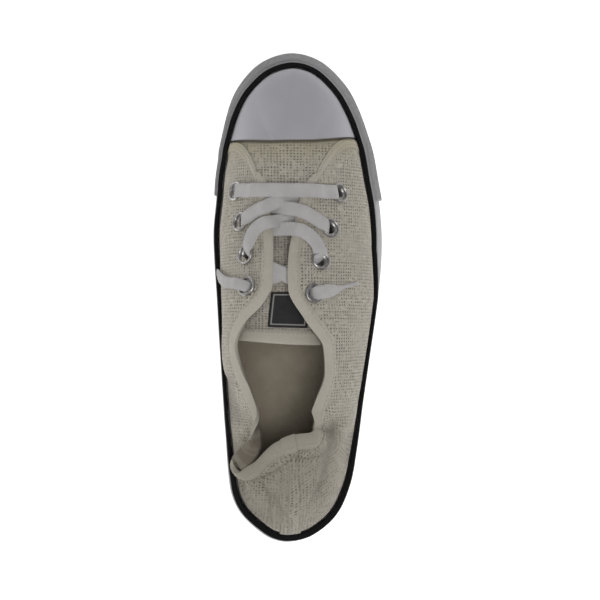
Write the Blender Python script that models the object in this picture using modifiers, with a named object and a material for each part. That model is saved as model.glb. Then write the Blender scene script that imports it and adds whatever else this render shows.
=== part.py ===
"""A low canvas sneaker for the right foot, empty, standing on its sole.

Metres, with +Z up. +Y is the toe, +X the outer side of the foot, and the
origin is on the floor under the middle of the shoe. The upper, the toe cap
and the edges of the sole all follow one ring of stations around the shoe.
"""

import math

import bmesh
import bpy
from mathutils import Vector
from mathutils.bvhtree import BVHTree

# Driving sizes
LENGTH = 0.265
BALL_WIDTH = 0.0914
INSTEP_HEIGHT = 0.080
TOE_SPRING = 0.008
SPRING_START = 0.20
SPRING_POWER = 1.6
CLEARANCE = 0.0003

# The sole
OUTSOLE = 0.005
OUTSOLE_INSET = 0.0010
TRAY_FLOOR = 0.0052
WALL_HEIGHT = 0.025
WALL_LEAN = 0.0034
STRIPE_WIDTH = 0.0032
STRIPE_HEIGHT = 0.0032
STRIPE_ROUND = 0.0006
STRIPE_CORNERS = 5
BUMPER_PROUD = 0.0018
BUMPER_RIB = 0.0006
BUMPER_TOP = 0.76
BUMPER_ENDS = (10.25, 23.8)
BUMPER_CORNERS = 4
RIBS_PER_STEP = 2
INSOLE = 0.0034

# The upper's wall and what is sewn or moulded on it
WALL = 0.0012
QUARTER = 0.0010
HEEL_STAY = 0.0008
HEM_RAMP = 0.02
CAP = 0.0011
CAP_BACK = 0.3092
CAP_CURVE = 0.0057
CAP_MIDDLE = -0.20
TOE_STATION = 17
SPINE_REACH = 3
CAP_REACH = 4.5
STATION_STEP = 0.02
ROW_STEP = 0.02
HEM_STATIONS = (13, 21)
STAY_STATIONS = (0.55, 37.25)
OVERLAY = max(CAP + CLEARANCE, QUARTER + HEEL_STAY)

# Eyelets and the flat lace
EYELET_RADIUS = 0.0053
EYELET_HOLE = 0.0027
EYELET_BARREL = 0.0034
EYELET_RISE = 0.0010
EYELET_ROLL = 0.0009
EYELET_SEAT = 0.0005
EYELET_SIDES = 12
EYELET_CUT = 8
EYELET_WAIST = 0.4
LACE_WIDTH = 0.0074
LACE = 0.0011
LACE_END_RADIUS = 0.0012
STRAND_STEPS = 2
LACE_END_STEPS = 1

# Tongue
TONGUE = 0.0022
TONGUE_STEPS = 5

# One row a station, from the middle of the heel round by the outer side.
# foot_side and rim_side are shares of half the ball width, foot_along and
# rim_along of the length, rim_up of the instep height. turn is the angle in
# degrees through which the wall bends over, bulge and bow are shares of the
# ball width, outwards and along the ring, and full is 1 for a round section
# and less for a slacker one.
STATION_COLUMNS = (
    "foot_side", "foot_along", "rim_side", "rim_along", "rim_up", "turn", "bulge", "bow", "full",
)
STATIONS = (
    (-0.105, -0.500, -0.131, -0.272, 0.775, 78, 0.000, 0.000, 0.90),
    (0.180, -0.486, -0.022, -0.267, 0.781, 78, 0.000, 0.000, 0.85),
    (0.460, -0.443, 0.079, -0.265, 0.769, 76, 0.000, 0.000, 0.75),
    (0.628, -0.377, 0.136, -0.251, 0.747, 72, 0.005, 0.000, 0.65),
    (0.705, -0.302, 0.109, -0.226, 0.750, 68, 0.013, 0.000, 0.65),
    (0.766, -0.219, 0.153, -0.196, 0.775, 66, 0.022, 0.000, 0.70),
    (0.845, -0.125, 0.241, -0.143, 0.831, 66, 0.028, 0.000, 0.75),
    (0.923, -0.034, 0.219, -0.094, 0.900, 66, 0.028, 0.000, 0.80),
    (0.980, 0.045, 0.011, -0.040, 0.975, 68, 0.024, 0.000, 0.85),
    (1.000, 0.117, -0.162, 0.019, 0.981, 72, 0.018, 0.000, 1.00),
    (0.976, 0.185, -0.144, 0.075, 0.912, 74, 0.009, 0.000, 1.00),
    (0.919, 0.242, -0.083, 0.128, 0.838, 78, 0.000, 0.000, 1.00),
    (0.868, 0.291, -0.011, 0.177, 0.769, 82, 0.000, 0.036, 1.00),
    (0.815, 0.323, 0.088, 0.221, 0.718, 86, 0.000, 0.066, 1.00),
    (0.681, 0.386, -0.173, 0.211, 0.731, 90, 0.000, 0.036, 1.00),
    (0.521, 0.434, -0.158, 0.279, 0.660, 90, 0.000, 0.000, 1.00),
    (0.247, 0.478, -0.140, 0.340, 0.570, 90, 0.000, 0.000, 1.00),
    (-0.077, 0.494, -0.123, 0.385, 0.491, 90, 0.000, 0.000, 1.00),
    (-0.394, 0.479, -0.140, 0.340, 0.570, 90, 0.000, 0.000, 1.00),
    (-0.621, 0.444, -0.158, 0.279, 0.660, 90, 0.000, 0.000, 1.00),
    (-0.777, 0.396, -0.173, 0.211, 0.731, 90, 0.000, -0.033, 1.00),
    (-0.898, 0.313, -0.449, 0.223, 0.718, 86, 0.000, -0.044, 1.00),
    (-0.920, 0.284, -0.407, 0.177, 0.769, 82, 0.000, -0.022, 1.00),
    (-0.945, 0.251, -0.368, 0.128, 0.838, 78, 0.000, 0.000, 1.00),
    (-0.968, 0.198, -0.354, 0.075, 0.912, 74, 0.009, 0.000, 1.00),
    (-1.000, 0.136, -0.363, 0.026, 0.975, 72, 0.018, 0.000, 1.00),
    (-0.989, 0.072, -0.460, -0.013, 0.994, 70, 0.026, 0.000, 0.95),
    (-0.963, 0.004, -0.635, -0.048, 0.960, 66, 0.035, 0.000, 0.85),
    (-0.937, -0.075, -0.726, -0.091, 0.900, 62, 0.037, 0.000, 0.75),
    (-0.910, -0.147, -0.667, -0.136, 0.844, 62, 0.035, 0.000, 0.70),
    (-0.884, -0.215, -0.569, -0.181, 0.794, 64, 0.026, 0.000, 0.70),
    (-0.864, -0.272, -0.481, -0.230, 0.744, 66, 0.013, 0.000, 0.70),
    (-0.853, -0.317, -0.580, -0.274, 0.669, 62, 0.007, 0.000, 0.70),
    (-0.836, -0.358, -0.792, -0.317, 0.544, 56, 0.004, 0.000, 0.70),
    (-0.800, -0.400, -0.678, -0.338, 0.562, 62, 0.000, 0.000, 0.75),
    (-0.700, -0.438, -0.492, -0.326, 0.637, 70, 0.000, 0.000, 0.80),
    (-0.530, -0.469, -0.350, -0.300, 0.713, 76, 0.000, 0.000, 0.85),
    (-0.335, -0.4925, -0.230, -0.281, 0.762, 78, 0.000, 0.000, 0.90),
)

# The top of the instep and vamp along the shoe: shares of the length and of
# the instep height. Columns: along, up.
CREST = (
    (0.019, 0.981),
    (0.075, 0.912),
    (0.128, 0.838),
    (0.177, 0.769),
    (0.211, 0.731),
    (0.279, 0.660),
    (0.340, 0.570),
    (0.385, 0.491),
    (0.500, 0.380),
)

# The sidewall's edge along the shoe: shares of the length, of the wall's
# lean on the shoe's outer and inner side, of the stripe's width and of the
# wall's height. Columns: along, outer, inner, stripe, up.
EDGE = (
    (-0.500, 0.82, 0.82, 1.00, 1.00),
    (-0.420, 0.53, 0.45, 0.95, 1.00),
    (-0.250, 0.40, 0.00, 0.56, 0.97),
    (0.000, 0.38, 0.00, 0.50, 0.93),
    (0.100, 1.25, 0.00, 0.66, 0.90),
    (0.240, 1.25, 0.00, 0.72, 0.88),
    (0.360, 1.18, 0.35, 0.75, 0.87),
    (0.430, 1.50, 1.00, 0.75, 0.88),
    (0.500, 1.62, 1.62, 0.75, 0.89),
)

# The tongue from its front, under the vamp, to its end: the place and the
# height of its middle, its half width and how far its edges drop. Shares of
# the length, half the ball width, half the ball width, the instep height
# and the instep height. Columns: along, middle, half, up, drop.
TONGUE_ROWS = (
    (0.240, -0.18, 0.28, 0.642, 0.045),
    (0.190, -0.18, 0.41, 0.686, 0.115),
    (0.128, -0.18, 0.44, 0.762, 0.155),
    (0.075, -0.17, 0.45, 0.838, 0.155),
    (0.023, -0.20, 0.47, 0.905, 0.150),
    (-0.020, -0.23, 0.47, 0.945, 0.155),
    (-0.053, -0.25, 0.47, 0.980, 0.165),
    (-0.075, -0.26, 0.47, 1.015, 0.180),
    (-0.087, -0.26, 0.46, 1.030, 0.180),
)

# Eyelets from toe to collar: shares of half the ball width and the length.
# Columns: side, along.
LATERAL_EYELETS = ((0.422, 0.205), (0.313, 0.135), (0.195, 0.071), (0.120, 0.008))
MEDIAL_EYELETS = ((-0.742, 0.210), (-0.687, 0.148), (-0.630, 0.083), (-0.621, 0.021))

# The flat lace where it is laced: each strand's points, with what it lies on
# there, shares of half the ball width and of the length, and how many lace
# thicknesses it stands off. A second strand crosses the first and joins it.
# Columns: bed, side, along, off.
LACING = {
    "lace_bar": (
        (
            ("over", -0.742, 0.2100, 0.0), ("over", -0.620, 0.2090, 0.0),
            ("over", -0.500, 0.2085, 0.0), ("over", 0.120, 0.2075, 0.0),
            ("over", 0.260, 0.2065, 0.2), ("over", 0.422, 0.2050, 0.2),
        ),
    ),
    "lace_cross_1": (
        (
            ("under", 0.190, 0.1830, 0.5), ("under", 0.080, 0.1870, 0.5),
            ("tongue", -0.040, 0.1895, 0.7), ("tongue", -0.160, 0.1900, 0.7),
            ("tongue", -0.280, 0.1862, 1.3), ("over", -0.430, 0.1745, 0.0),
            ("over", -0.520, 0.1680, 0.0), ("over", -0.620, 0.1570, 0.0),
            ("over", -0.687, 0.1480, 0.0),
        ),
        (
            ("under", -0.520, 0.1820, 1.0), ("under", -0.440, 0.1800, 0.6),
            ("tongue", -0.340, 0.1765, 2.4), ("tongue", -0.240, 0.1745, 3.1),
            ("tongue", -0.110, 0.1710, 3.0), ("over", 0.010, 0.1650, 0.6),
            ("over", 0.120, 0.1555, 0.2), ("over", 0.220, 0.1450, 0.2),
            ("over", 0.313, 0.1350, 0.2),
        ),
    ),
    "lace_cross_2": (
        (
            ("under", 0.100, 0.1340, 0.7), ("under", -0.010, 0.1400, 0.9),
            ("tongue", -0.130, 0.1455, 0.9), ("tongue", -0.250, 0.1475, 0.9),
            ("tongue", -0.320, 0.1465, 1.5), ("over", -0.405, 0.1440, 0.9),
            ("over", -0.470, 0.1400, 0.2), ("over", -0.550, 0.1270, 0.2),
            ("over", -0.605, 0.1060, 0.3), ("over", -0.630, 0.0830, 0.3),
        ),
        (
            ("under", -0.500, 0.1370, 1.0), ("under", -0.430, 0.1350, 0.6),
            ("tongue", -0.330, 0.1320, 1.6), ("tongue", -0.220, 0.1325, 2.8),
            ("tongue", -0.130, 0.1320, 4.0), ("over", -0.045, 0.1295, 1.4),
            ("over", 0.020, 0.1250, 0.5), ("over", 0.085, 0.1175, 0.4),
            ("over", 0.155, 0.1030, 0.4), ("over", 0.190, 0.0870, 0.4),
            ("over", 0.195, 0.0710, 0.4),
        ),
    ),
    "lace_cross_3": (
        (
            ("under", 0.070, 0.0605, 0.7), ("under", -0.060, 0.0540, 0.9),
            ("tongue", -0.200, 0.0475, 1.3), ("tongue", -0.310, 0.0410, 1.3),
            ("under", -0.420, 0.0340, 0.7), ("under", -0.500, 0.0280, 0.7),
        ),
        (
            ("under", -0.500, 0.0670, 0.9), ("under", -0.420, 0.0600, 0.9),
            ("tongue", -0.310, 0.0520, 0.5), ("tongue", -0.220, 0.0450, 0.5),
            ("under", -0.100, 0.0340, 0.9), ("under", -0.020, 0.0270, 0.9),
        ),
    ),
}

# The lace's free ends on the upper, from the top eyelets: the station and the
# share up the wall under each point, and how far it stands off as a share of
# the instep height. Columns: station, share, off.
LACE_ENDS = {
    "lace_end_lateral": (
        (8.47, 0.890, 0.012), (8.42, 0.860, 0.019), (8.37, 0.825, 0.014),
        (8.31, 0.780, 0.004), (8.24, 0.720, 0.000), (8.17, 0.660, 0.000),
        (8.12, 0.610, 0.000), (8.09, 0.575, 0.000), (8.07, 0.545, 0.000),
    ),
    "lace_end_medial": (
        (25.97, 0.800, 0.020), (26.06, 0.765, 0.027), (26.15, 0.728, 0.024),
        (26.25, 0.680, 0.009), (26.34, 0.620, 0.000), (26.42, 0.540, 0.000),
        (26.44, 0.450, 0.000), (26.42, 0.360, 0.000), (26.38, 0.280, 0.000),
        (26.35, 0.200, 0.000),
    ),
}

ROWS_UP = (-1.0, -0.1, 0.0, 0.08, 0.17, 0.28, 0.40, 0.53, 0.66, 0.79, 0.90, 1.0)
SPRING_BREAKS = tuple(SPRING_START + 0.0375 * step for step in range(9))


def clear_scene():
    for obj in list(bpy.data.objects):
        bpy.data.objects.remove(obj, do_unlink=True)


def new_collection(name):
    made = bpy.data.collections.new(name)
    bpy.context.scene.collection.children.link(made)
    return made


def material(name, colour, roughness, metallic=0.0):
    made = bpy.data.materials.new(name)
    made.use_nodes = True
    shader = made.node_tree.nodes["Principled BSDF"]
    shader.inputs["Base Color"].default_value = (*colour, 1.0)
    shader.inputs["Roughness"].default_value = roughness
    shader.inputs["Metallic"].default_value = metallic
    return made


def place(name, mesh, collection, finish=None, smooth=True):
    """Puts a finished mesh in the scene as one named piece."""
    data = bpy.data.meshes.new(name)
    mesh.to_mesh(data)
    mesh.free()
    if smooth:
        data.shade_smooth()
        data.set_sharp_from_angle(angle=math.radians(40))
    obj = bpy.data.objects.new(name, data)
    collection.objects.link(obj)
    if finish:
        data.materials.append(finish)
    return obj


def cutter(name, mesh, collection):
    obj = place(name, mesh, collection, smooth=False)
    obj.hide_render = True
    obj.display_type = "WIRE"
    return obj


def boolean(obj, other, operation):
    modifier = obj.modifiers.new(operation.lower(), "BOOLEAN")
    modifier.operation = operation
    modifier.object = other


def slope(before, after):
    """A slope that never overshoots: the harmonic mean, or none at a peak."""
    return 2 * before * after / (before + after) if before * after > 0 else 0.0


def between(values, slopes, t):
    """The cubic from the second value to the third with these end slopes."""
    _, start, stop, _ = values
    leaving, arriving = slopes
    return (
        start * (2 * t**3 - 3 * t**2 + 1) + leaving * (t**3 - 2 * t**2 + t)
        + stop * (3 * t**2 - 2 * t**3) + arriving * (t**3 - t**2)
    )


def eased(values, t):
    """A curve through four evenly spaced values that doesn't overshoot them."""
    a, b, c, d = values
    return between(values, (slope(b - a, c - b), slope(c - b, d - c)), t)


def rounded(values, t):
    """A rounder curve through four evenly spaced values."""
    a, b, c, d = values
    return between(values, ((c - a) / 2, (d - b) / 2), t)


def station(u):
    """The table's row at any place u around the ring, as a dictionary."""
    count = len(STATIONS)
    first = math.floor(u)
    rows = [STATIONS[(first + k) % count] for k in (-1, 0, 1, 2)]
    found = {}
    for column, name in enumerate(STATION_COLUMNS):
        curve = rounded if name.startswith("foot") else eased
        found[name] = curve([row[column] for row in rows], u - first)
    return found


def along_table(table, along):
    """The row of a table at a share of the length, straight between rows."""
    rows = sorted(table)
    if along <= rows[0][0]:
        return rows[0][1:]
    for low, high in zip(rows, rows[1:]):
        if along <= high[0]:
            share = (along - low[0]) / (high[0] - low[0])
            return tuple(a + (b - a) * share for a, b in zip(low[1:], high[1:]))
    return rows[-1][1:]


def crest(y):
    """Height of the instep and vamp's top line at y."""
    return along_table(CREST, y / LENGTH)[0] * INSTEP_HEIGHT


def edge(y):
    """The sidewall at y: stripe width and height above its foot."""
    _, _, stripe, up = along_table(EDGE, y / LENGTH)
    return stripe * STRIPE_WIDTH, up * WALL_HEIGHT


def spring(y):
    """How far the toe spring lifts the shoe at y, straight between breaks."""
    at = y / LENGTH
    if at <= SPRING_BREAKS[0]:
        return 0.0
    knots = [
        (b, TOE_SPRING * ((b - SPRING_START) / (0.5 - SPRING_START)) ** SPRING_POWER)
        for b in SPRING_BREAKS
    ]
    return along_table(knots, at)[0]


def outline(u, inset=0.0):
    """A point of the sidewall's foot, moved inwards, flat on the plan."""
    here = station(u)
    before, after = station(u - STATION_STEP), station(u + STATION_STEP)
    run = Vector((
        (after["foot_side"] - before["foot_side"]) * BALL_WIDTH / 2,
        (after["foot_along"] - before["foot_along"]) * LENGTH,
        0.0,
    )).normalized()
    inwards = Vector((-run.y, run.x, 0.0))
    foot = Vector((here["foot_side"] * BALL_WIDTH / 2, here["foot_along"] * LENGTH, 0.0))
    return foot + inwards * inset


def lean_at(u):
    """How far the sidewall leans in, less on the shoe's inner side."""
    foot = outline(u)
    outer, inner, _, _ = along_table(EDGE, foot.y / LENGTH)
    facing = (1 + (foot - outline(u, 1.0)).x) / 2
    return (inner + (outer - inner) * facing) * WALL_LEAN


def inner_edge(u):
    """Inset of the sidewall's inner face and height of its top."""
    stripe, up = edge(outline(u).y)
    return lean_at(u) + stripe, up


def lining_inset(u):
    """Inset of the upper's inner face where it stands in the tray."""
    return inner_edge(u)[0] + CLEARANCE + OVERLAY + WALL


def last(u, v):
    """The upper's inner face. v is -1 at its foot inside the tray, 0 where it
    leaves the sidewall and 1 at its rim, or at the middle of the toe."""
    here = station(u)
    top = inner_edge(u)[1]
    foot = outline(u, lining_inset(u))
    foot.z = top
    if v < 0:
        floor = OUTSOLE + TRAY_FLOOR + 2 * CLEARANCE
        foot.z = top + (floor - top) * -v
        return foot + Vector((0, 0, spring(foot.y)))
    mirrored = min(u, 2 * TOE_STATION - u) if abs(u - TOE_STATION) <= SPINE_REACH else u
    end = station(mirrored)
    rim = Vector((
        end["rim_side"] * BALL_WIDTH / 2,
        end["rim_along"] * LENGTH,
        end["rim_up"] * INSTEP_HEIGHT,
    ))
    turn = math.radians(here["turn"])
    full = here["full"]
    over = full * (1 - math.cos(v * turn)) / (1 - math.cos(turn)) + (1 - full) * v
    up = full * math.sin(v * turn) / math.sin(turn) + (1 - full) * v
    way = Vector((rim.x - foot.x, rim.y - foot.y, 0.0))
    outwards = -way.normalized()
    beside = Vector((outwards.y, -outwards.x, 0.0))
    hump = math.sin(math.pi * v) * BALL_WIDTH
    point = foot + way * over + outwards * here["bulge"] * hump - beside * here["bow"] * hump
    high = rim.z + crest(point.y) - crest(rim.y)
    point.z = top + up * (high - top) + spring(point.y)
    return point


def ring_columns():
    """Places around the ring that every piece shares."""
    return [k / 2 for k in range(2 * len(STATIONS))]


def upper_columns():
    """The shared places, with a close pair at each step in the wall."""
    columns = set(ring_columns())
    columns |= {HEM_STATIONS[0] + HEM_RAMP, HEM_STATIONS[1] - HEM_RAMP}
    columns |= {STAY_STATIONS[0], STAY_STATIONS[0] + HEM_RAMP}
    columns |= {STAY_STATIONS[1], STAY_STATIONS[1] - HEM_RAMP}
    return sorted(columns)


def in_quarter(u):
    return u <= HEM_STATIONS[0] or u >= HEM_STATIONS[1]


def in_stay(u):
    return u <= STAY_STATIONS[0] or u >= STAY_STATIONS[1]


def wall_at(u):
    """The wall's thickness: the vamp's, with the quarter and the heel stay."""
    return WALL + QUARTER * in_quarter(u) + HEEL_STAY * in_stay(u)


def sheet(columns, rows, point, closed=True):
    """A grid laid on a surface. A closed one joins its last column to its first."""
    mesh = bmesh.new()
    around = list(columns) + ([columns[0]] if closed else [])
    bmesh.ops.create_grid(mesh, x_segments=len(around) - 1, y_segments=len(rows) - 1, size=1)
    mark = mesh.verts.layers.float.new("station")
    for vert in mesh.verts:
        u = around[round((vert.co.x + 1) / 2 * (len(around) - 1))]
        v = rows[round((vert.co.y + 1) / 2 * (len(rows) - 1))]
        vert[mark] = u
        vert.co = point(u, v)
    bmesh.ops.remove_doubles(mesh, verts=mesh.verts, dist=1e-6)
    bmesh.ops.triangulate(mesh, faces=mesh.faces, quad_method="SHORT_EDGE")
    return mesh, mark


def face_outwards(mesh):
    """Turns an open sheet so that most of it faces away from the shoe's inside."""
    mesh.normal_update()
    inside = Vector((0.0, 0.0, 2 * TRAY_FLOOR))
    facing = sum((f.calc_center_median() - inside).dot(f.normal) * f.calc_area() for f in mesh.faces)
    if facing < 0:
        bmesh.ops.reverse_faces(mesh, faces=mesh.faces)
    mesh.normal_update()


def make_upper(pieces, finish):
    mesh, mark = sheet(upper_columns(), ROWS_UP, last)
    face_outwards(mesh)
    thickest = WALL + QUARTER + HEEL_STAY
    weights = [wall_at(vert[mark]) / thickest for vert in mesh.verts]
    obj = place("upper", mesh, pieces, finish)
    group = obj.vertex_groups.new(name="wall")
    for index, weight in enumerate(weights):
        group.add([index], weight, "REPLACE")
    shell = obj.modifiers.new("wall", "SOLIDIFY")
    shell.thickness = thickest
    shell.offset = 1.0
    shell.vertex_group = "wall"
    return obj


def cap_edge_bow(x):
    """How far forward the cap's back edge lies at x, from its middle."""
    return CAP_CURVE * (2 * x / BALL_WIDTH - CAP_MIDDLE) ** 2


def make_toe_cap(pieces, finish):
    """The front of the upper's own surface, moved out and cut off behind."""
    columns = [u for u in upper_columns() if abs(u - TOE_STATION) <= CAP_REACH]
    mesh, _ = sheet(columns, ROWS_UP[1:], last, closed=False)
    face_outwards(mesh)
    for vert in mesh.verts:
        vert.co += vert.normal * (WALL + CLEARANCE)
    for vert in mesh.verts:
        vert.co.y -= cap_edge_bow(vert.co.x)
    bmesh.ops.bisect_plane(
        mesh, geom=mesh.verts[:] + mesh.edges[:] + mesh.faces[:], dist=1e-7,
        plane_co=(0, CAP_BACK * LENGTH, 0), plane_no=(0, -1, 0), clear_outer=True,
    )
    for vert in mesh.verts:
        vert.co.y += cap_edge_bow(vert.co.x)
    obj = place("toe_cap", mesh, pieces, finish)
    shell = obj.modifiers.new("cap", "SOLIDIFY")
    shell.thickness = CAP
    shell.offset = 1.0
    return obj


def slab(low_inset, high_inset, low, high):
    """A plate between two outlines, bent up at the toe in flat strips."""
    mesh = bmesh.new()
    mark = mesh.verts.layers.float.new("station")
    for u in ring_columns():
        vert = mesh.verts.new(outline(u, low_inset(u)))
        vert[mark] = u
    mesh.verts.ensure_lookup_table()
    face = mesh.faces.new(mesh.verts)
    raised = bmesh.ops.extrude_face_region(mesh, geom=[face])["geom"]
    for vert in (item for item in raised if isinstance(item, bmesh.types.BMVert)):
        vert.co = outline(vert[mark], high_inset(vert[mark])) + Vector((0, 0, 1))
    cuts = sorted({*SPRING_BREAKS, *(row[0] for row in EDGE)})
    for at in cuts[1:-1]:
        bmesh.ops.bisect_plane(
            mesh, geom=mesh.verts[:] + mesh.edges[:] + mesh.faces[:], dist=1e-7,
            plane_co=(0, at * LENGTH, 0), plane_no=(0, 1, 0),
        )
    for vert in mesh.verts:
        bottom, top = low(vert.co.y), high(vert.co.y)
        vert.co.z = bottom + (top - bottom) * vert.co.z + spring(vert.co.y)
    bmesh.ops.recalc_face_normals(mesh, faces=mesh.faces)
    return mesh


def level(height):
    """A flat top or bottom for a slab."""
    return lambda y: height


def make_outsole(pieces, finish):
    inset = level(OUTSOLE_INSET)
    return place("outsole", slab(inset, inset, level(0.0), level(OUTSOLE)), pieces, finish)


def stripe_foot(y):
    return edge(y)[1] - STRIPE_HEIGHT


def under_stripe(y):
    return stripe_foot(y) - CLEARANCE


def tray_inset(u):
    return inner_edge(u)[0]


def make_midsole(pieces, tools, finish):
    """A tray: the sidewall around the floor that carries the insole."""
    tray = slab(level(0.0), lean_at, level(OUTSOLE + CLEARANCE), under_stripe)
    obj = place("midsole", tray, pieces, finish)
    hollow = slab(tray_inset, tray_inset, level(OUTSOLE + TRAY_FLOOR), level(2 * WALL_HEIGHT))
    boolean(obj, cutter("tray_hollow", hollow, tools), "DIFFERENCE")
    return obj


def make_stripe(pieces, finish):
    def corner(u, v):
        lean = lean_at(u)
        width, up = edge(outline(u).y)
        inset, height = (
            (lean, up - STRIPE_HEIGHT),
            (lean, up - STRIPE_ROUND),
            (lean + STRIPE_ROUND, up),
            (lean + width, up),
            (lean + width, up - STRIPE_HEIGHT),
        )[v % STRIPE_CORNERS]
        point = outline(u, inset)
        point.z = height + spring(outline(u).y)
        return point

    mesh, _ = sheet(ring_columns(), range(STRIPE_CORNERS + 1), corner)
    bmesh.ops.recalc_face_normals(mesh, faces=mesh.faces)
    return place("foxing_stripe", mesh, pieces, finish)


def make_bumper(pieces, finish):
    """The ribbed strip around the toe, on the sidewall's own flat facets."""
    start, stop = BUMPER_ENDS
    shared = [u for u in ring_columns() if start < u < stop]
    corners = [start, *shared, stop]
    steps = 2 * RIBS_PER_STEP
    count = (len(corners) - 1) * steps

    def on_wall(u, share, proud):
        y = outline(u).y
        foot = OUTSOLE + CLEARANCE
        height = foot + (stripe_foot(y) - foot) * share
        point = outline(u, lean_at(u) * share - proud)
        point.z = height + spring(outline(u).y)
        return point

    def corner(k, v):
        at, rest = divmod(k, steps)
        share, proud = (
            (0.0, CLEARANCE),
            (0.0, BUMPER_PROUD),
            (BUMPER_TOP, BUMPER_PROUD),
            (BUMPER_TOP, CLEARANCE),
        )[v % BUMPER_CORNERS]
        if proud == BUMPER_PROUD and k % 2:
            proud -= BUMPER_RIB
        low = on_wall(corners[at], share, proud)
        if rest == 0:
            return low
        return low.lerp(on_wall(corners[at + 1], share, proud), rest / steps)

    mesh, _ = sheet(range(count + 1), range(BUMPER_CORNERS + 1), corner, closed=False)
    bmesh.ops.holes_fill(mesh, edges=[e for e in mesh.edges if e.is_boundary], sides=0)
    bmesh.ops.recalc_face_normals(mesh, faces=mesh.faces)
    return place("toe_bumper", mesh, pieces, finish)


def insole_inset(u):
    return lining_inset(u) + CLEARANCE


def make_insole(pieces, finish):
    low = OUTSOLE + TRAY_FLOOR + CLEARANCE
    mesh = slab(insole_inset, insole_inset, level(low), level(low + INSOLE))
    return place("insole", mesh, pieces, finish)


def tongue_point(across, along):
    """The tongue's top face; across runs from -1 to 1."""
    middle, half, up, drop = along_table(TONGUE_ROWS, along)
    side = (middle + half * across) * BALL_WIDTH / 2
    y = along * LENGTH
    return Vector((side, y, (up - drop * across**2) * INSTEP_HEIGHT + spring(y)))


def make_tongue(pieces, finish):
    across = [k / TONGUE_STEPS for k in range(-TONGUE_STEPS, TONGUE_STEPS + 1)]
    known = [row[0] for row in TONGUE_ROWS]
    rows = sorted({*known, *((a + b) / 2 for a, b in zip(known, known[1:]))})
    mesh, _ = sheet(across, rows, tongue_point, closed=False)
    mesh.normal_update()
    if sum(f.normal.z for f in mesh.faces) < 0:
        bmesh.ops.reverse_faces(mesh, faces=mesh.faces)
    obj = place("tongue", mesh, pieces, finish)
    shell = obj.modifiers.new("cloth", "SOLIDIFY")
    shell.thickness = TONGUE
    shell.offset = -1.0
    return obj


def surface_of(obj):
    """The object's faces as they are now, for finding heights on them."""
    return BVHTree.FromObject(obj, bpy.context.evaluated_depsgraph_get())


def top_of(tree, x, y):
    return tree.ray_cast(Vector((x, y, 3 * INSTEP_HEIGHT)), Vector((0, 0, -1)))


def eyelet_seats(outside):
    """Name, place and outward direction of each eyelet, outer side first."""
    seats = []
    for side, rows in (("lateral", LATERAL_EYELETS), ("medial", MEDIAL_EYELETS)):
        for number, (across, along) in enumerate(rows, 1):
            point, normal, _, _ = top_of(outside, across * BALL_WIDTH / 2, along * LENGTH)
            seats.append((f"eyelet_{side}_{number}", point, normal))
    return seats


def make_eyelet_holes(upper, tools, seats):
    mesh = bmesh.new()
    for _, point, normal in seats:
        turn = normal.to_track_quat("Z", "Y").to_matrix().to_4x4()
        turn.translation = point
        radius = EYELET_BARREL + CLEARANCE
        depth = EYELET_CUT * (WALL + QUARTER)
        bmesh.ops.create_cone(
            mesh, cap_ends=True, segments=EYELET_SIDES, radius1=radius, radius2=radius, depth=depth, matrix=turn,
        )
    boolean(upper, cutter("eyelet_holes", mesh, tools), "DIFFERENCE")


def make_eyelet(name, point, normal, pieces, finish):
    """A turned ring: a rolled flange outside and a barrel through the wall."""
    wall = WALL + QUARTER
    top = EYELET_SEAT + EYELET_RISE
    waist = EYELET_SEAT + EYELET_WAIST * EYELET_RISE
    profile = (
        (EYELET_BARREL, EYELET_SEAT),
        (EYELET_RADIUS, EYELET_SEAT),
        (EYELET_RADIUS, waist),
        (EYELET_RADIUS - EYELET_ROLL, top),
        (EYELET_HOLE + EYELET_ROLL, top),
        (EYELET_HOLE, -wall),
        (EYELET_BARREL, -wall),
    )
    mesh = bmesh.new()
    verts = [mesh.verts.new((radius, 0, height)) for radius, height in profile]
    for first, second in zip(verts, verts[1:] + verts[:1]):
        mesh.edges.new((first, second))
    bmesh.ops.spin(
        mesh, geom=mesh.verts[:] + mesh.edges[:], axis=(0, 0, 1), cent=(0, 0, 0),
        angle=2 * math.pi, steps=EYELET_SIDES, use_merge=True,
    )
    bmesh.ops.remove_doubles(mesh, verts=mesh.verts, dist=1e-6)
    bmesh.ops.recalc_face_normals(mesh, faces=mesh.faces)
    obj = place(name, mesh, pieces, finish)
    obj.location = point
    obj.rotation_mode = "QUATERNION"
    obj.rotation_quaternion = normal.to_track_quat("Z", "Y")
    return obj


def bed_point(bed, side, along, off, upper, tongue):
    """The lace's middle over or under a surface, and the surface's fall there."""
    x, y = side * BALL_WIDTH / 2, along * LENGTH
    hit, normal, _, _ = top_of(tongue if bed == "tongue" else upper, x, y)
    away = CLEARANCE + LACE / 2 + off * LACE
    if bed == "over":
        away += EYELET_SEAT + EYELET_RISE
    if bed == "under":
        away = -away - WALL - QUARTER
    height = hit.z + away / normal.z
    return (x, y, height, -normal.x / normal.z, -normal.y / normal.z)


def through(points, steps):
    """More points on a smooth curve through the given ones, of any size."""
    ends = [points[0], *points, points[-1]]
    found = []
    for first in range(len(points) - 1):
        four = ends[first:first + 4]
        for k in range(steps):
            found.append(tuple(rounded(values, k / steps) for values in zip(*four)))
    return found + [tuple(points[-1])]


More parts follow.
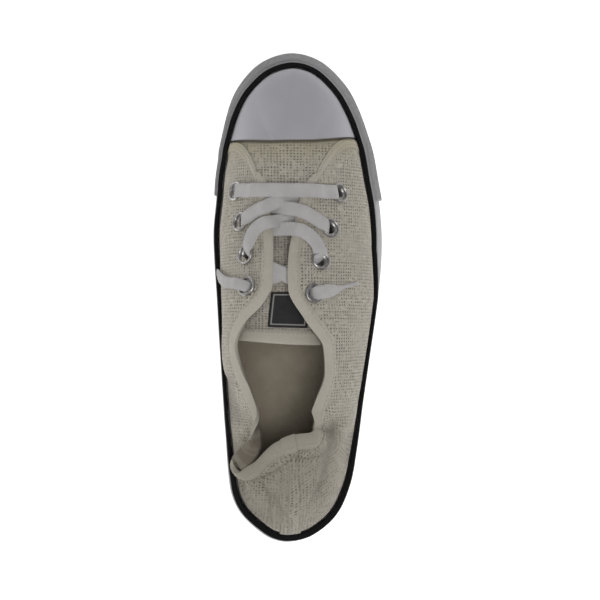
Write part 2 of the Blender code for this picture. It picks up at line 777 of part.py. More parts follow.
def strand(rows, upper, tongue):
    """One flat stretch of lace over its beds."""
    path = through([bed_point(*row, upper, tongue) for row in rows], STRAND_STEPS)

    def point(k, across):
        x, y, z, fall_x, fall_y = path[k]
        ahead, behind = path[min(k + 1, len(path) - 1)], path[max(k - 1, 0)]
        way = Vector((ahead[0] - behind[0], ahead[1] - behind[1], 0.0)).normalized()
        beside = Vector((-way.y, way.x, 0.0)) * across * LACE_WIDTH / 2
        beside.z = fall_x * beside.x + fall_y * beside.y
        return Vector((x, y, z)) + beside

    mesh, _ = sheet(range(len(path)), (-1, 0, 1), point, closed=False)
    mesh.normal_update()
    if sum(f.normal.z for f in mesh.faces) < 0:
        bmesh.ops.reverse_faces(mesh, faces=mesh.faces)
    return mesh


def thicken(obj):
    shell = obj.modifiers.new("lace", "SOLIDIFY")
    shell.thickness = LACE
    shell.offset = 0.0


def make_lacing(pieces, tools, finish, upper, tongue):
    for name, strands in LACING.items():
        obj = place(name, strand(strands[0], upper, tongue), pieces, finish)
        thicken(obj)
        for crossing in strands[1:]:
            other = cutter(f"{name}_crossing", strand(crossing, upper, tongue), tools)
            thicken(other)
            boolean(obj, other, "UNION")


def wall_normal(u, v):
    """Outward direction of the upper's wall at a station and a share up it."""
    around = last(u + STATION_STEP, v) - last(u - STATION_STEP, v)
    up = last(u, min(v + ROW_STEP, 1.0)) - last(u, v - ROW_STEP)
    return around.cross(up).normalized()


def lace_end_path(rows):
    """Where a free end's middle runs, on the outside of the quarter."""
    away = WALL + QUARTER + 2 * CLEARANCE + LACE_END_RADIUS
    points = [
        tuple(last(u, v) + wall_normal(u, v) * (away + off * INSTEP_HEIGHT))
        for u, v, off in rows
    ]
    return through(points, LACE_END_STEPS)


def make_lace_ends(pieces, finish):
    for name, rows in LACE_ENDS.items():
        path = lace_end_path(rows)
        data = bpy.data.curves.new(name, "CURVE")
        data.dimensions = "3D"
        data.bevel_depth = LACE_END_RADIUS
        data.bevel_resolution = 2
        data.use_fill_caps = True
        data.materials.append(finish)
        line = data.splines.new("POLY")
        line.points.add(len(path) - 1)
        for spot, place_at in zip(line.points, path):
            spot.co = (*place_at, 1.0)
        pieces.objects.link(bpy.data.objects.new(name, data))


def main():
    clear_scene()
    pieces = new_collection("canvas_sneaker")
    tools = new_collection("cutters")
    canvas = material("canvas", (0.56, 0.53, 0.45), 0.9)
    cap_rubber = material("cap_rubber", (0.60, 0.60, 0.61), 0.45)
    white_rubber = material("white_rubber", (0.58, 0.58, 0.57), 0.55)
    black_rubber = material("black_rubber", (0.02, 0.02, 0.02), 0.5)
    tan_rubber = material("tan_rubber", (0.35, 0.22, 0.12), 0.7)
    footbed = material("footbed", (0.30, 0.25, 0.19), 0.9)
    nickel = material("nickel", (0.60, 0.60, 0.58), 0.3, 1.0)
    lace = material("lace", (0.62, 0.61, 0.60), 0.85)
    make_outsole(pieces, tan_rubber)
    make_midsole(pieces, tools, white_rubber)
    make_stripe(pieces, black_rubber)
    make_bumper(pieces, white_rubber)
    make_insole(pieces, footbed)
    upper = make_upper(pieces, canvas)
    make_toe_cap(pieces, cap_rubber)
    tongue = make_tongue(pieces, canvas)
    outside = surface_of(upper)
    seats = eyelet_seats(outside)
    make_eyelet_holes(upper, tools, seats)
    for name, point, normal in seats:
        make_eyelet(name, point, normal, pieces, nickel)
    make_lacing(pieces, tools, lace, outside, surface_of(tongue))
    make_lace_ends(pieces, lace)


main()
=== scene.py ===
"""The looks of a low canvas sneaker for the right foot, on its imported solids.

Metres, with +Z up. +Y is the toe and +X the outer side of the foot. The upper,
the toe cap and the sole's edges follow one ring of stations around the shoe,
as in the part, and here at a finer pitch with the canvas's own folds.
"""

import functools
import math

import bmesh
import bpy
from mathutils import Matrix, Vector
from mathutils.bvhtree import BVHTree
from mathutils.noise import noise


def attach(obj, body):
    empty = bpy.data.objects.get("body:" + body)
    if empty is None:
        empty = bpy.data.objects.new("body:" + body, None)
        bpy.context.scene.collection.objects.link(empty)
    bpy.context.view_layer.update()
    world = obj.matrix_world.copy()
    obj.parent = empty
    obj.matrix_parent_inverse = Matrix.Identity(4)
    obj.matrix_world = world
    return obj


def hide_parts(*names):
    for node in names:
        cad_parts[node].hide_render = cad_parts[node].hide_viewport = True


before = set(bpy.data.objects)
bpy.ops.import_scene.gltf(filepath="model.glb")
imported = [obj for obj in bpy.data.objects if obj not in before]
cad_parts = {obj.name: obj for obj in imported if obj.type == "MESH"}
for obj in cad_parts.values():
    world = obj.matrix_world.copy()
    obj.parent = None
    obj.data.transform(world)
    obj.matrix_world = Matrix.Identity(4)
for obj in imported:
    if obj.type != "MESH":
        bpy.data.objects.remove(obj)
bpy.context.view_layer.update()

# Driving sizes, as in the part
LENGTH = 0.265
BALL_WIDTH = 0.0914
INSTEP_HEIGHT = 0.080
TOE_SPRING = 0.008
SPRING_START = 0.20
SPRING_POWER = 1.6
CLEARANCE = 0.0003

# The sole
OUTSOLE = 0.005
TRAY_FLOOR = 0.0052
WALL_HEIGHT = 0.025
WALL_LEAN = 0.0034
STRIPE_WIDTH = 0.0032
STRIPE_HEIGHT = 0.0032
BUMPER_PROUD = 0.0018
BUMPER_TOP = 0.76
BUMPER_FOOT = 0.005
BUMPER_ROUND = 0.0005
BUMPER_ENDS = (10.25, 23.8)
DIAMOND = 0.0026
DIAMOND_RISE = 0.0006
DIAMOND_EDGE = (0.55, 0.95)
DIAMOND_FRAME = (0.04, 0.09)
DIAMOND_FROM_END = (0.0010, 0.0018)
SIDEWALL_FOOT = 0.0004
SIDEWALL_LINE = 0.00035
TRAY_REACH = 0.012

# The upper's wall and what is sewn or moulded on it
WALL = 0.0012
QUARTER = 0.0010
HEEL_STAY = 0.0008
HEM_RAMP = 0.02
HEM_FOLD = 0.0005
HEM_WIDTH = 0.0046
HEM_EDGE = 0.0008
RIM_WIDTH = 0.0052
RIM_ROLL = 0.0009
GROOVE_SHARE = 0.5
GROOVE_WIDTH = 0.0011
STITCH_GAP = 0.0012
CAP = 0.0011
CAP_BACK = 0.3092
CAP_CURVE = 0.0057
CAP_MIDDLE = -0.20
TOE_STATION = 17
SPINE_REACH = 3
CAP_REACH = 4.5
CAP_SMOOTHINGS = 8
CAP_FOOT = -0.2
CAP_PLAIN = 0.012
HEM_STATIONS = (13, 21)
HEEL_TURN = (2.5, 5.0)
MID_SHARE = 0.45
STAY_STATIONS = (0.55, 37.25)
OVERLAY = max(CAP + CLEARANCE, QUARTER + HEEL_STAY)
STATION_STEP = 0.02
ROW_STEP = 0.02

# Eyelets, thread and the flat lace
EYELET_RADIUS = 0.0053
EYELET_HOLE = 0.0027
EYELET_BARREL = 0.0034
EYELET_RISE = 0.0010
EYELET_SEAT = 0.0005
EYELET_CUT = 0.0022
EYELET_ROLL = 0.27
LACE_WIDTH = 0.0074
LACE = 0.0011
LACE_END_RADIUS = 0.0012
STITCH = 0.0026
STITCH_HALF = 0.36
THREAD = 0.00045
THREAD_RISE = 0.2
TONGUE = 0.0022
TONGUE_SLANT = 0.0012
SLANT_ALONG = (0.02, 0.087)
TONGUE_STRETCH = 1.3
TONGUE_SEAM = 0.0052
TONGUE_END_HEM = (0.0062, 0.0070)
TONGUE_SIDE_HEM = (0.78, 0.82)
LABEL = 0.0005
LABEL_RISE = 0.0005

# A lace over an eyelet: its height, and its width and length where it gathers
LACE_RISE = EYELET_SEAT + EYELET_RISE + LACE / 2 + CLEARANCE / 2
GATHERED = 1.6 * EYELET_HOLE
GATHER_REACH = 0.16

# How a lace goes down an eyelet, from its edge to below it. Columns: ahead and
# out from the eyelet's middle, then its face ahead and out.
DIVE = (
    (-0.0036, LACE_RISE, 0.25, 1.0),
    (-0.0004, -0.0007, 1.0, 0.3),
    (0.0001, -0.0036, 1.0, 0.0),
)

# The eyelet's section inside its rolled flange. Columns: radius, height.
EYELET_UNDER = -(WALL + QUARTER + HEM_FOLD + 0.0006)
EYELET_SECTION = (
    (EYELET_HOLE + 0.0004, EYELET_SEAT - 0.0003),
    (EYELET_HOLE, EYELET_SEAT - 0.0009),
    (EYELET_HOLE, EYELET_UNDER),
    (EYELET_BARREL + 0.0012, EYELET_UNDER - 0.0003),
    (EYELET_BARREL + 0.0012, EYELET_UNDER + 0.0003),
    (EYELET_BARREL, EYELET_UNDER + 0.0004),
    (EYELET_BARREL, EYELET_SEAT - 0.0001),
    (EYELET_RADIUS - 0.0002, EYELET_SEAT - 0.0002),
)

# The sidewall's outer face. Columns: share of its height, how far it stands out.
SIDEWALL_FACE = (
    (0.0, -SIDEWALL_FOOT), (0.02, 0.0), (0.25, 0.0001), (0.5, 0.00015), (0.70, 0.0001),
    (0.79, 0.0), (0.81, SIDEWALL_LINE), (0.84, SIDEWALL_LINE), (0.86, 0.0), (0.89, 0.0),
    (0.91, SIDEWALL_LINE), (0.94, SIDEWALL_LINE), (0.96, 0.0), (0.985, 0.0),
)

# The stripe's rounded top. Columns: 0 at its outer and 1 at its inner edge,
# inset from there, depth below the top. Then its unevenness: reach and size.
STRIPE_TOP = (
    (0, 0.0, 0.0009), (0, 0.00025, 0.0003), (0, 0.0009, 0.0), (1, -0.0006, 0.0),
    (1, 0.0002, 0.0005),
)
STRIPE_WANDER = ((0.00025, 0.006), (0.00015, 0.0017))

# Weave of the canvas: a pinhole every few threads
PINHOLE_PITCH = 0.00165
PINHOLE = 0.30

# One row a station, from the middle of the heel round by the outer side, as
# in the part.
STATION_COLUMNS = (
    "foot_side", "foot_along", "rim_side", "rim_along", "rim_up", "turn", "bulge", "bow", "full",
)
STATIONS = (
    (-0.105, -0.500, -0.131, -0.272, 0.775, 78, 0.000, 0.000, 0.90),
    (0.180, -0.486, -0.022, -0.267, 0.781, 78, 0.000, 0.000, 0.85),
    (0.460, -0.443, 0.079, -0.265, 0.769, 76, 0.000, 0.000, 0.75),
    (0.628, -0.377, 0.136, -0.251, 0.747, 72, 0.005, 0.000, 0.65),
    (0.705, -0.302, 0.109, -0.226, 0.750, 68, 0.013, 0.000, 0.65),
    (0.766, -0.219, 0.153, -0.196, 0.775, 66, 0.022, 0.000, 0.70),
    (0.845, -0.125, 0.241, -0.143, 0.831, 66, 0.028, 0.000, 0.75),
    (0.923, -0.034, 0.219, -0.094, 0.900, 66, 0.028, 0.000, 0.80),
    (0.980, 0.045, 0.011, -0.040, 0.975, 68, 0.024, 0.000, 0.85),
    (1.000, 0.117, -0.162, 0.019, 0.981, 72, 0.018, 0.000, 1.00),
    (0.976, 0.185, -0.144, 0.075, 0.912, 74, 0.009, 0.000, 1.00),
    (0.919, 0.242, -0.083, 0.128, 0.838, 78, 0.000, 0.000, 1.00),
    (0.868, 0.291, -0.011, 0.177, 0.769, 82, 0.000, 0.036, 1.00),
    (0.815, 0.323, 0.088, 0.221, 0.718, 86, 0.000, 0.066, 1.00),
    (0.681, 0.386, -0.173, 0.211, 0.731, 90, 0.000, 0.036, 1.00),
    (0.521, 0.434, -0.158, 0.279, 0.660, 90, 0.000, 0.000, 1.00),
    (0.247, 0.478, -0.140, 0.340, 0.570, 90, 0.000, 0.000, 1.00),
    (-0.077, 0.494, -0.123, 0.385, 0.491, 90, 0.000, 0.000, 1.00),
    (-0.394, 0.479, -0.140, 0.340, 0.570, 90, 0.000, 0.000, 1.00),
    (-0.621, 0.444, -0.158, 0.279, 0.660, 90, 0.000, 0.000, 1.00),
    (-0.777, 0.396, -0.173, 0.211, 0.731, 90, 0.000, -0.033, 1.00),
    (-0.898, 0.313, -0.449, 0.223, 0.718, 86, 0.000, -0.044, 1.00),
    (-0.920, 0.284, -0.407, 0.177, 0.769, 82, 0.000, -0.022, 1.00),
    (-0.945, 0.251, -0.368, 0.128, 0.838, 78, 0.000, 0.000, 1.00),
    (-0.968, 0.198, -0.354, 0.075, 0.912, 74, 0.009, 0.000, 1.00),
    (-1.000, 0.136, -0.363, 0.026, 0.975, 72, 0.018, 0.000, 1.00),
    (-0.989, 0.072, -0.460, -0.013, 0.994, 70, 0.026, 0.000, 0.95),
    (-0.963, 0.004, -0.635, -0.048, 0.960, 66, 0.035, 0.000, 0.85),
    (-0.937, -0.075, -0.726, -0.091, 0.900, 62, 0.037, 0.000, 0.75),
    (-0.910, -0.147, -0.667, -0.136, 0.844, 62, 0.035, 0.000, 0.70),
    (-0.884, -0.215, -0.569, -0.181, 0.794, 64, 0.026, 0.000, 0.70),
    (-0.864, -0.272, -0.481, -0.230, 0.744, 66, 0.013, 0.000, 0.70),
    (-0.853, -0.317, -0.580, -0.274, 0.669, 62, 0.007, 0.000, 0.70),
    (-0.836, -0.358, -0.792, -0.317, 0.544, 56, 0.004, 0.000, 0.70),
    (-0.800, -0.400, -0.678, -0.338, 0.562, 62, 0.000, 0.000, 0.75),
    (-0.700, -0.438, -0.492, -0.326, 0.637, 70, 0.000, 0.000, 0.80),
    (-0.530, -0.469, -0.350, -0.300, 0.713, 76, 0.000, 0.000, 0.85),
    (-0.335, -0.4925, -0.230, -0.281, 0.762, 78, 0.000, 0.000, 0.90),
)

# Top line of the instep and vamp. Columns: along, up.
CREST = (
    (0.019, 0.981), (0.075, 0.912), (0.128, 0.838), (0.177, 0.769), (0.211, 0.731),
    (0.279, 0.660), (0.340, 0.570), (0.385, 0.491), (0.500, 0.380),
)

# The sidewall's edge. Columns: along, outer, inner, stripe, up.
EDGE = (
    (-0.500, 0.82, 0.82, 1.00, 1.00),
    (-0.420, 0.53, 0.45, 0.95, 1.00),
    (-0.250, 0.40, 0.00, 0.56, 0.97),
    (0.000, 0.38, 0.00, 0.50, 0.93),
    (0.100, 1.25, 0.00, 0.66, 0.90),
    (0.240, 1.25, 0.00, 0.72, 0.88),
    (0.360, 1.18, 0.35, 0.75, 0.87),
    (0.430, 1.50, 1.00, 0.75, 0.88),
    (0.500, 1.62, 1.62, 0.75, 0.89),
)

# The tongue from its front to its end. Columns: along, middle, half, up, drop.
TONGUE_ROWS = (
    (0.240, -0.18, 0.28, 0.642, 0.045),
    (0.190, -0.18, 0.41, 0.686, 0.115),
    (0.128, -0.18, 0.44, 0.762, 0.155),
    (0.075, -0.17, 0.45, 0.838, 0.155),
    (0.023, -0.20, 0.47, 0.905, 0.150),
    (-0.020, -0.23, 0.47, 0.945, 0.155),
    (-0.053, -0.25, 0.47, 0.980, 0.165),
    (-0.075, -0.26, 0.47, 1.015, 0.180),
    (-0.087, -0.26, 0.46, 1.030, 0.180),
)
LABEL_ALONG = (-0.057, 0.010)
LABEL_HALF = 0.46
LABEL_MIDDLE = 0.16

# Eyelets from toe to collar. Columns: side, along.
LATERAL_EYELETS = ((0.422, 0.205), (0.313, 0.135), (0.195, 0.071), (0.120, 0.008))
MEDIAL_EYELETS = ((-0.742, 0.210), (-0.687, 0.148), (-0.630, 0.083), (-0.621, 0.021))

# The laced strands, as in the part. Columns: bed, side, along, off.
LACING = {
    "lace_bar": (
        (
            ("over", -0.742, 0.2100, 0.0), ("over", -0.620, 0.2090, 0.0),
            ("over", -0.500, 0.2085, 0.0), ("over", 0.120, 0.2075, 0.0),
            ("over", 0.260, 0.2065, 0.2), ("over", 0.422, 0.2050, 0.2),
        ),
    ),
    "lace_cross_1": (
        (
            ("under", 0.190, 0.1830, 0.5), ("under", 0.080, 0.1870, 0.5),
            ("tongue", -0.040, 0.1895, 0.7), ("tongue", -0.160, 0.1900, 0.7),
            ("tongue", -0.280, 0.1862, 1.3), ("over", -0.430, 0.1745, 0.0),
            ("over", -0.520, 0.1680, 0.0), ("over", -0.620, 0.1570, 0.0),
            ("over", -0.687, 0.1480, 0.0),
        ),
        (
            ("under", -0.520, 0.1820, 1.0), ("under", -0.440, 0.1800, 0.6),
            ("tongue", -0.340, 0.1765, 2.4), ("tongue", -0.240, 0.1745, 3.1),
            ("tongue", -0.110, 0.1710, 3.0), ("over", 0.010, 0.1650, 0.6),
            ("over", 0.120, 0.1555, 0.2), ("over", 0.220, 0.1450, 0.2),
            ("over", 0.313, 0.1350, 0.2),
        ),
    ),
    "lace_cross_2": (
        (
            ("under", 0.100, 0.1340, 0.7), ("under", -0.010, 0.1400, 0.9),
            ("tongue", -0.130, 0.1455, 0.9), ("tongue", -0.250, 0.1475, 0.9),
            ("tongue", -0.320, 0.1465, 1.5), ("over", -0.405, 0.1440, 0.9),
            ("over", -0.470, 0.1400, 0.2), ("over", -0.550, 0.1270, 0.2),
            ("over", -0.605, 0.1060, 0.3), ("over", -0.630, 0.0830, 0.3),
        ),
        (
            ("under", -0.500, 0.1370, 1.0), ("under", -0.430, 0.1350, 0.6),
            ("tongue", -0.330, 0.1320, 1.6), ("tongue", -0.220, 0.1325, 2.8),
            ("tongue", -0.130, 0.1320, 4.0), ("over", -0.045, 0.1295, 1.4),
            ("over", 0.020, 0.1250, 0.5), ("over", 0.085, 0.1175, 0.4),
            ("over", 0.155, 0.1030, 0.4), ("over", 0.190, 0.0870, 0.4),
            ("over", 0.195, 0.0710, 0.4),
        ),
    ),
    "lace_cross_3": (
        (
            ("under", 0.070, 0.0605, 0.7), ("under", -0.060, 0.0540, 0.9),
            ("tongue", -0.200, 0.0475, 1.3), ("tongue", -0.310, 0.0410, 1.3),
            ("under", -0.420, 0.0340, 0.7), ("under", -0.500, 0.0280, 0.7),
        ),
        (
            ("under", -0.500, 0.0670, 0.9), ("under", -0.420, 0.0600, 0.9),
            ("tongue", -0.310, 0.0520, 0.5), ("tongue", -0.220, 0.0450, 0.5),
            ("under", -0.100, 0.0340, 0.9), ("under", -0.020, 0.0270, 0.9),
        ),
    ),
}

# The lace's free ends, as in the part. Columns: station, share, off.
LACE_ENDS = {
    "lateral": (
        (8.47, 0.890, 0.012), (8.42, 0.860, 0.019), (8.37, 0.825, 0.014),
        (8.31, 0.780, 0.004), (8.24, 0.720, 0.000), (8.17, 0.660, 0.000),
        (8.12, 0.610, 0.000), (8.09, 0.575, 0.000), (8.07, 0.545, 0.000),
    ),
    "medial": (
        (25.97, 0.800, 0.020), (26.06, 0.765, 0.027), (26.15, 0.728, 0.024),
        (26.25, 0.680, 0.009), (26.34, 0.620, 0.000), (26.42, 0.540, 0.000),
        (26.44, 0.450, 0.000), (26.42, 0.360, 0.000), (26.38, 0.280, 0.000),
        (26.35, 0.200, 0.000),
    ),
}

# Each end's full and tip widths as shares of the lace's, and where it narrows.
LACE_END_SHAPE = {"lateral": (0.96, 0.24, (0.38, 0.66)), "medial": (0.80, 0.55, (0.80, 1.00))}

# Folds of the slack canvas. Each row is its height outwards and its half
# width in metres, then its line on the plan as shares of half the ball width
# and of the length.
FOLDS = {
    "band_roll": (0.0016, 0.0034, (
        (-0.725, -0.343), (-0.542, -0.341), (-0.388, -0.329), (-0.261, -0.304), (-0.149, -0.285),
        (0.020, -0.281), (0.160, -0.281),
    )),
    "band_line": (-0.0007, 0.0010, ((-0.600, -0.345), (-0.388, -0.338), (-0.246, -0.309))),
    "band_dimple": (-0.0006, 0.0016, ((-0.060, -0.300), (0.050, -0.292))),
    "strip_crease": (-0.0032, 0.0011, (
        (-0.654, -0.358), (-0.542, -0.355), (-0.430, -0.348), (-0.303, -0.336), (-0.205, -0.324),
        (-0.121, -0.309),
    )),
    "band_crease": (-0.0010, 0.0015, ((-0.121, -0.309), (0.020, -0.311), (0.160, -0.307))),
    "strip_edge": (-0.0009, 0.0012, (
        (-0.416, -0.358), (-0.360, -0.382), (-0.331, -0.411), (-0.317, -0.440),
    )),
    "smudge": (-0.0015, 0.0034, ((-0.295, -0.382), (-0.177, -0.413))),
    "heel_crown": (0.0018, 0.0070, ((0.062, -0.343), (-0.051, -0.372), (-0.093, -0.411))),
    "lateral_trough": (-0.0020, 0.0046, (
        (0.371, -0.251), (0.357, -0.275), (0.258, -0.324), (0.188, -0.363),
    )),
    "lateral_ridge": (0.0012, 0.0036, (
        (0.469, -0.246), (0.399, -0.300), (0.329, -0.343), (0.272, -0.382),
    )),
    "lateral_second": (-0.0010, 0.0030, ((0.536, -0.275), (0.498, -0.324))),
    "kink_ridge": (0.0012, 0.0028, ((0.118, -0.234), (0.216, -0.228), (0.315, -0.217))),
    "kink_trough": (-0.0014, 0.0026, ((0.138, -0.252), (0.244, -0.261), (0.357, -0.266))),
    "medial_trough": (-0.0014, 0.0034, ((-0.809, -0.164), (-0.753, -0.203), (-0.739, -0.241))),
    "medial_ridge": (0.0012, 0.0030, ((-0.654, -0.188), (-0.584, -0.222), (-0.598, -0.251))),
    "medial_low": (-0.0008, 0.0040, ((-0.910, -0.157), (-0.795, -0.223))),
    "heel_left": (-0.0010, 0.0045, ((-0.711, -0.367), (-0.598, -0.401), (-0.458, -0.430))),
    "throat_ridge": (0.0008, 0.0014, ((-0.398, 0.128), (-0.415, 0.051), (-0.398, 0.008))),
    "throat_trough": (-0.0006, 0.0030, ((-0.567, 0.067), (-0.495, 0.020))),
}
# Patches of painted shade along the canvas's folds and creases. Columns: side, along, reach,
# strength.
FOLD_SHADE_PATCHES = (
    (-0.25, -0.395, 0.10, 0.6), (0.17, -0.385, 0.12, 0.3), (-0.62, -0.385, 0.22, 0.6),
    (-0.45, -0.430, 0.16, 0.4), (0.37, -0.262, 0.06, 0.3), (0.02, -0.300, 0.28, 0.55),
    (-0.45, -0.335, 0.28, 0.60),
)
# How much darker the canvas grows towards the heel, and over which shares of the length
HEEL_DARKENING = 0.26
HEEL_DARKENING_ALONG = (0.22, 0.29)

# The sunken wall below the collar's inner corner
POCKET_STATIONS = (29.6, 35.0)
POCKET_DEPTH = 0.011

# Small unevenness: its height and size, its strength ahead of the heel, what
# the heel adds and where, and the height and fineness of a second scale.
RUMPLE = 0.0004
RUMPLE_SIZE = 0.016
RUMPLE_LEAST = 0.25
RUMPLE_HEEL = 1.4
RUMPLE_ALONG = (0.05, 0.30)
FINE_RUMPLE = (0.6, 2.6)

# Where folds set in above the sole and end towards the toe, and how deep a
# fold is fully shaded.
FOLDS_UP = (0.0, 0.15)
FOLDS_END = (0.28, 0.31)
FOLD_SHADE = 0.0024

# What the canvas carries at each point: plain cloth, painted shade along the folds with the canvas
# darker towards the heel, and painted shade by the depth of folds
MARKS = ("plain", "fold_shade_and_heel_dark", "shade")

# How finely the canvas, the sole and the laces are laid out
RING_STEPS = 8
ROWS_UP = (-1.0, -0.5, -0.1, *(k / 50 for k in range(38)), *(0.76 + k / 100 for k in range(25)))
SOLE_STEPS = 6
BUMPER_STEPS = 30
BUMPER_ROWS = 26
TONGUE_SIDE_STEPS = 24
TONGUE_STEPS = 80
LABEL_STEPS = 20
EYELET_ARC = 12
EYELET_STEPS = 40
STRAND_STEPS = 6
LACE_SIDES = 16
SEAM_STEPS = 52
SEAM_FOOT = 3
HEM_SEAM_TOP = 48
STAY_SEAM_TOP = 44

# How a strand lies: the steepest bed it follows, how often it is pulled level
# and how far its face turns up.
STEEPEST = 0.75
TAUT_PASSES = 4
FACE_UP = 0.6

# The width of a free end where it leaves its eyelet, and how fast it opens
END_WIDTH = 0.6
END_OPENING = 4

# How far off the canvas a seam's place is looked for, and the step beside it
STAND_OFF = 0.02
SEAM_SIDE_STEP = 0.25

# Colours of the materials that share one kind of finish
CANVAS_TINT = (0.57, 0.53, 0.455)
CAP_TINT = (0.51, 0.505, 0.54)
WALL_TINT = (0.46, 0.455, 0.465)
BUMPER_TINT = (0.39, 0.385, 0.395)
BLACK_TINT = (0.0035, 0.0032, 0.0035)
TAN_TINT = (0.36, 0.23, 0.13)

# The photograph's camera, high above the shoe's inner side, and how much floor
# its frame spans.
CAMERA_PLACE = (-0.0353, -0.0062, 1.0)
CAMERA_TARGET = (0.0, -0.001, 0.03)
FRAME_WIDTH = 0.3284
FLOOR_HALF = 30


class Pattern:
    """A number that varies over a surface. Sums of patterns make Math nodes."""

    def __init__(self, finish, socket):
        self.finish = finish
        self.socket = socket

    def _maths(self, operation, *values):
        return self.finish.add("ShaderNodeMath", {"operation": operation}, dict(enumerate(values)))

    def __add__(self, other):
        return self._maths("ADD", self, other)

    def __sub__(self, other):
        return self._maths("SUBTRACT", self, other)

    def __rsub__(self, other):
        return self._maths("SUBTRACT", other, self)

    def __mul__(self, other):
        return self._maths("MULTIPLY", self, other)

    def __truediv__(self, other):
        return self._maths("DIVIDE", self, other)

    def __pow__(self, other):
        return self._maths("POWER", self, other)

    def __abs__(self):
        return self._maths("ABSOLUTE", self)

    __radd__ = __add__
    __rmul__ = __mul__

    def part(self):
        """What is left above the whole number."""
        return self._maths("FRACT", self)

    def whole(self):
        return self._maths("FLOOR", self)

    def sine(self):
        return self._maths("SINE", self)

    def most(self, other):
        return self._maths("MAXIMUM", self, other)

    def ease(self, low, high):
        """0 below low and 1 above high, or the other way round."""
        settings = {"interpolation_type": "SMOOTHSTEP"}
        return self.finish.add("ShaderNodeMapRange", settings, {0: self, 1: low, 2: high})


class Finish:
    """A material being made from nodes."""

    def __init__(self, name, roughness, metallic=0.0):
        self.material = bpy.data.materials.new(name)
        self.material.use_nodes = True
        self.tree = self.material.node_tree
        self.shader = self.tree.nodes["Principled BSDF"]
        self.shader.inputs["Roughness"].default_value = roughness
        self.shader.inputs["Metallic"].default_value = metallic

    def put(self, socket, value):
        if isinstance(value, Pattern):
            self.tree.links.new(value.socket, socket)
        elif isinstance(value, tuple) and len(value) == 3 and socket.type == "RGBA":
            socket.default_value = (*value, 1.0)
        else:
            socket.default_value = value

    def add(self, kind, settings=None, sockets=None, output=0):
        """Any node: its settings first, then the values or links of its sockets."""
        node = self.tree.nodes.new(kind)
        for name, value in (settings or {}).items():
            setattr(node, name, value)
        for name, value in (sockets or {}).items():
            self.put(node.inputs[name], value)
        return Pattern(self, node.outputs[output])

    def place(self):
        return self.add("ShaderNodeTexCoord", output="Object")

    def cloth(self):
        """The piece's own lengths, from its UV map."""
        return self.add("ShaderNodeUVMap", {"uv_map": "cloth"})

    def split(self, vector):
        node = self.tree.nodes.new("ShaderNodeSeparateXYZ")
        self.put(node.inputs[0], vector)
        return [Pattern(self, out) for out in node.outputs]

    def join(self, x, y, z=0.0):
        return self.add("ShaderNodeCombineXYZ", sockets={0: x, 1: y, 2: z})

    def mark(self, name):
        return self.add("ShaderNodeAttribute", {"attribute_name": name}, output="Fac")

    def cloud(self, where, size, detail=3.0):
        """Soft noise with features of about that size in metres."""
        return self.add(
            "ShaderNodeTexNoise", sockets={"Vector": where, "Scale": 1 / size, "Detail": detail}
        )

    def chance(self, where):
        return self.add("ShaderNodeTexWhiteNoise", sockets={"Vector": where})

    def mix(self, share, first, second):
        settings = {"data_type": "RGBA"}
        return self.add("ShaderNodeMix", settings, {0: share, 6: first, 7: second}, output=2)

    def relief(self, height, depth, before=None):
        sockets = {"Height": height, "Distance": depth, "Strength": 1.0}
        if before:
            sockets["Normal"] = before
        return self.add("ShaderNodeBump", sockets=sockets)

    def finish(self, colour, relief=None, roughness=None):
        self.put(self.shader.inputs["Base Color"], colour)
        if relief:
            self.put(self.shader.inputs["Normal"], relief)
        if roughness:
            self.put(self.shader.inputs["Roughness"], roughness)
        return self.material


def slope(before, after):
    """A slope that never overshoots: the harmonic mean, or none at a peak."""
    return 2 * before * after / (before + after) if before * after > 0 else 0.0


def between(values, slopes, t):
    """The cubic from the second value to the third with these end slopes."""
    _, start, stop, _ = values
    leaving, arriving = slopes
    return (
        start * (2 * t**3 - 3 * t**2 + 1) + leaving * (t**3 - 2 * t**2 + t)
        + stop * (3 * t**2 - 2 * t**3) + arriving * (t**3 - t**2)
    )


def eased(values, t):
    a, b, c, d = values
    return between(values, (slope(b - a, c - b), slope(c - b, d - c)), t)


def rounded(values, t):
    a, b, c, d = values
    return between(values, ((c - a) / 2, (d - b) / 2), t)


@functools.cache
def station(u):
    """The table's row at any place u around the ring, as a dictionary."""
    first = math.floor(u)
    rows = [STATIONS[(first + k) % len(STATIONS)] for k in (-1, 0, 1, 2)]
    found = {}
    for column, name in enumerate(STATION_COLUMNS):
        curve = rounded if name.startswith("foot") else eased
        found[name] = curve([row[column] for row in rows], u - first)
    return found


def along_table(table, along):
    """The row of a table at a share of the length, straight between rows."""
    rows = sorted(table)
    if along <= rows[0][0]:
        return rows[0][1:]
    for low, high in zip(rows, rows[1:]):
        if along <= high[0]:
            share = (along - low[0]) / (high[0] - low[0])
            return tuple(a + (b - a) * share for a, b in zip(low[1:], high[1:]))
    return rows[-1][1:]


def soft_table(table, along):
    """The same with a rounded curve through the rows."""
    rows = sorted(table)
    at = min(max(along, rows[0][0]), rows[-1][0])
    first = max(k for k in range(len(rows) - 1) if rows[k][0] <= at)
    four = [rows[min(max(first + k, 0), len(rows) - 1)] for k in (-1, 0, 1, 2)]
    share = (at - rows[first][0]) / (rows[first + 1][0] - rows[first][0])
    return tuple(rounded([row[column] for row in four], share) for column in range(1, len(rows[0])))


def crest(y):
    return soft_table(CREST, y / LENGTH)[0] * INSTEP_HEIGHT


def edge(y):
    """The sidewall at y: stripe width and height above its foot."""
    _, _, stripe, up = along_table(EDGE, y / LENGTH)
    return stripe * STRIPE_WIDTH, up * WALL_HEIGHT


def spring(y):
    """How far the toe spring lifts the shoe at y."""
    share = max(y / LENGTH - SPRING_START, 0.0) / (0.5 - SPRING_START)
    return TOE_SPRING * share ** SPRING_POWER


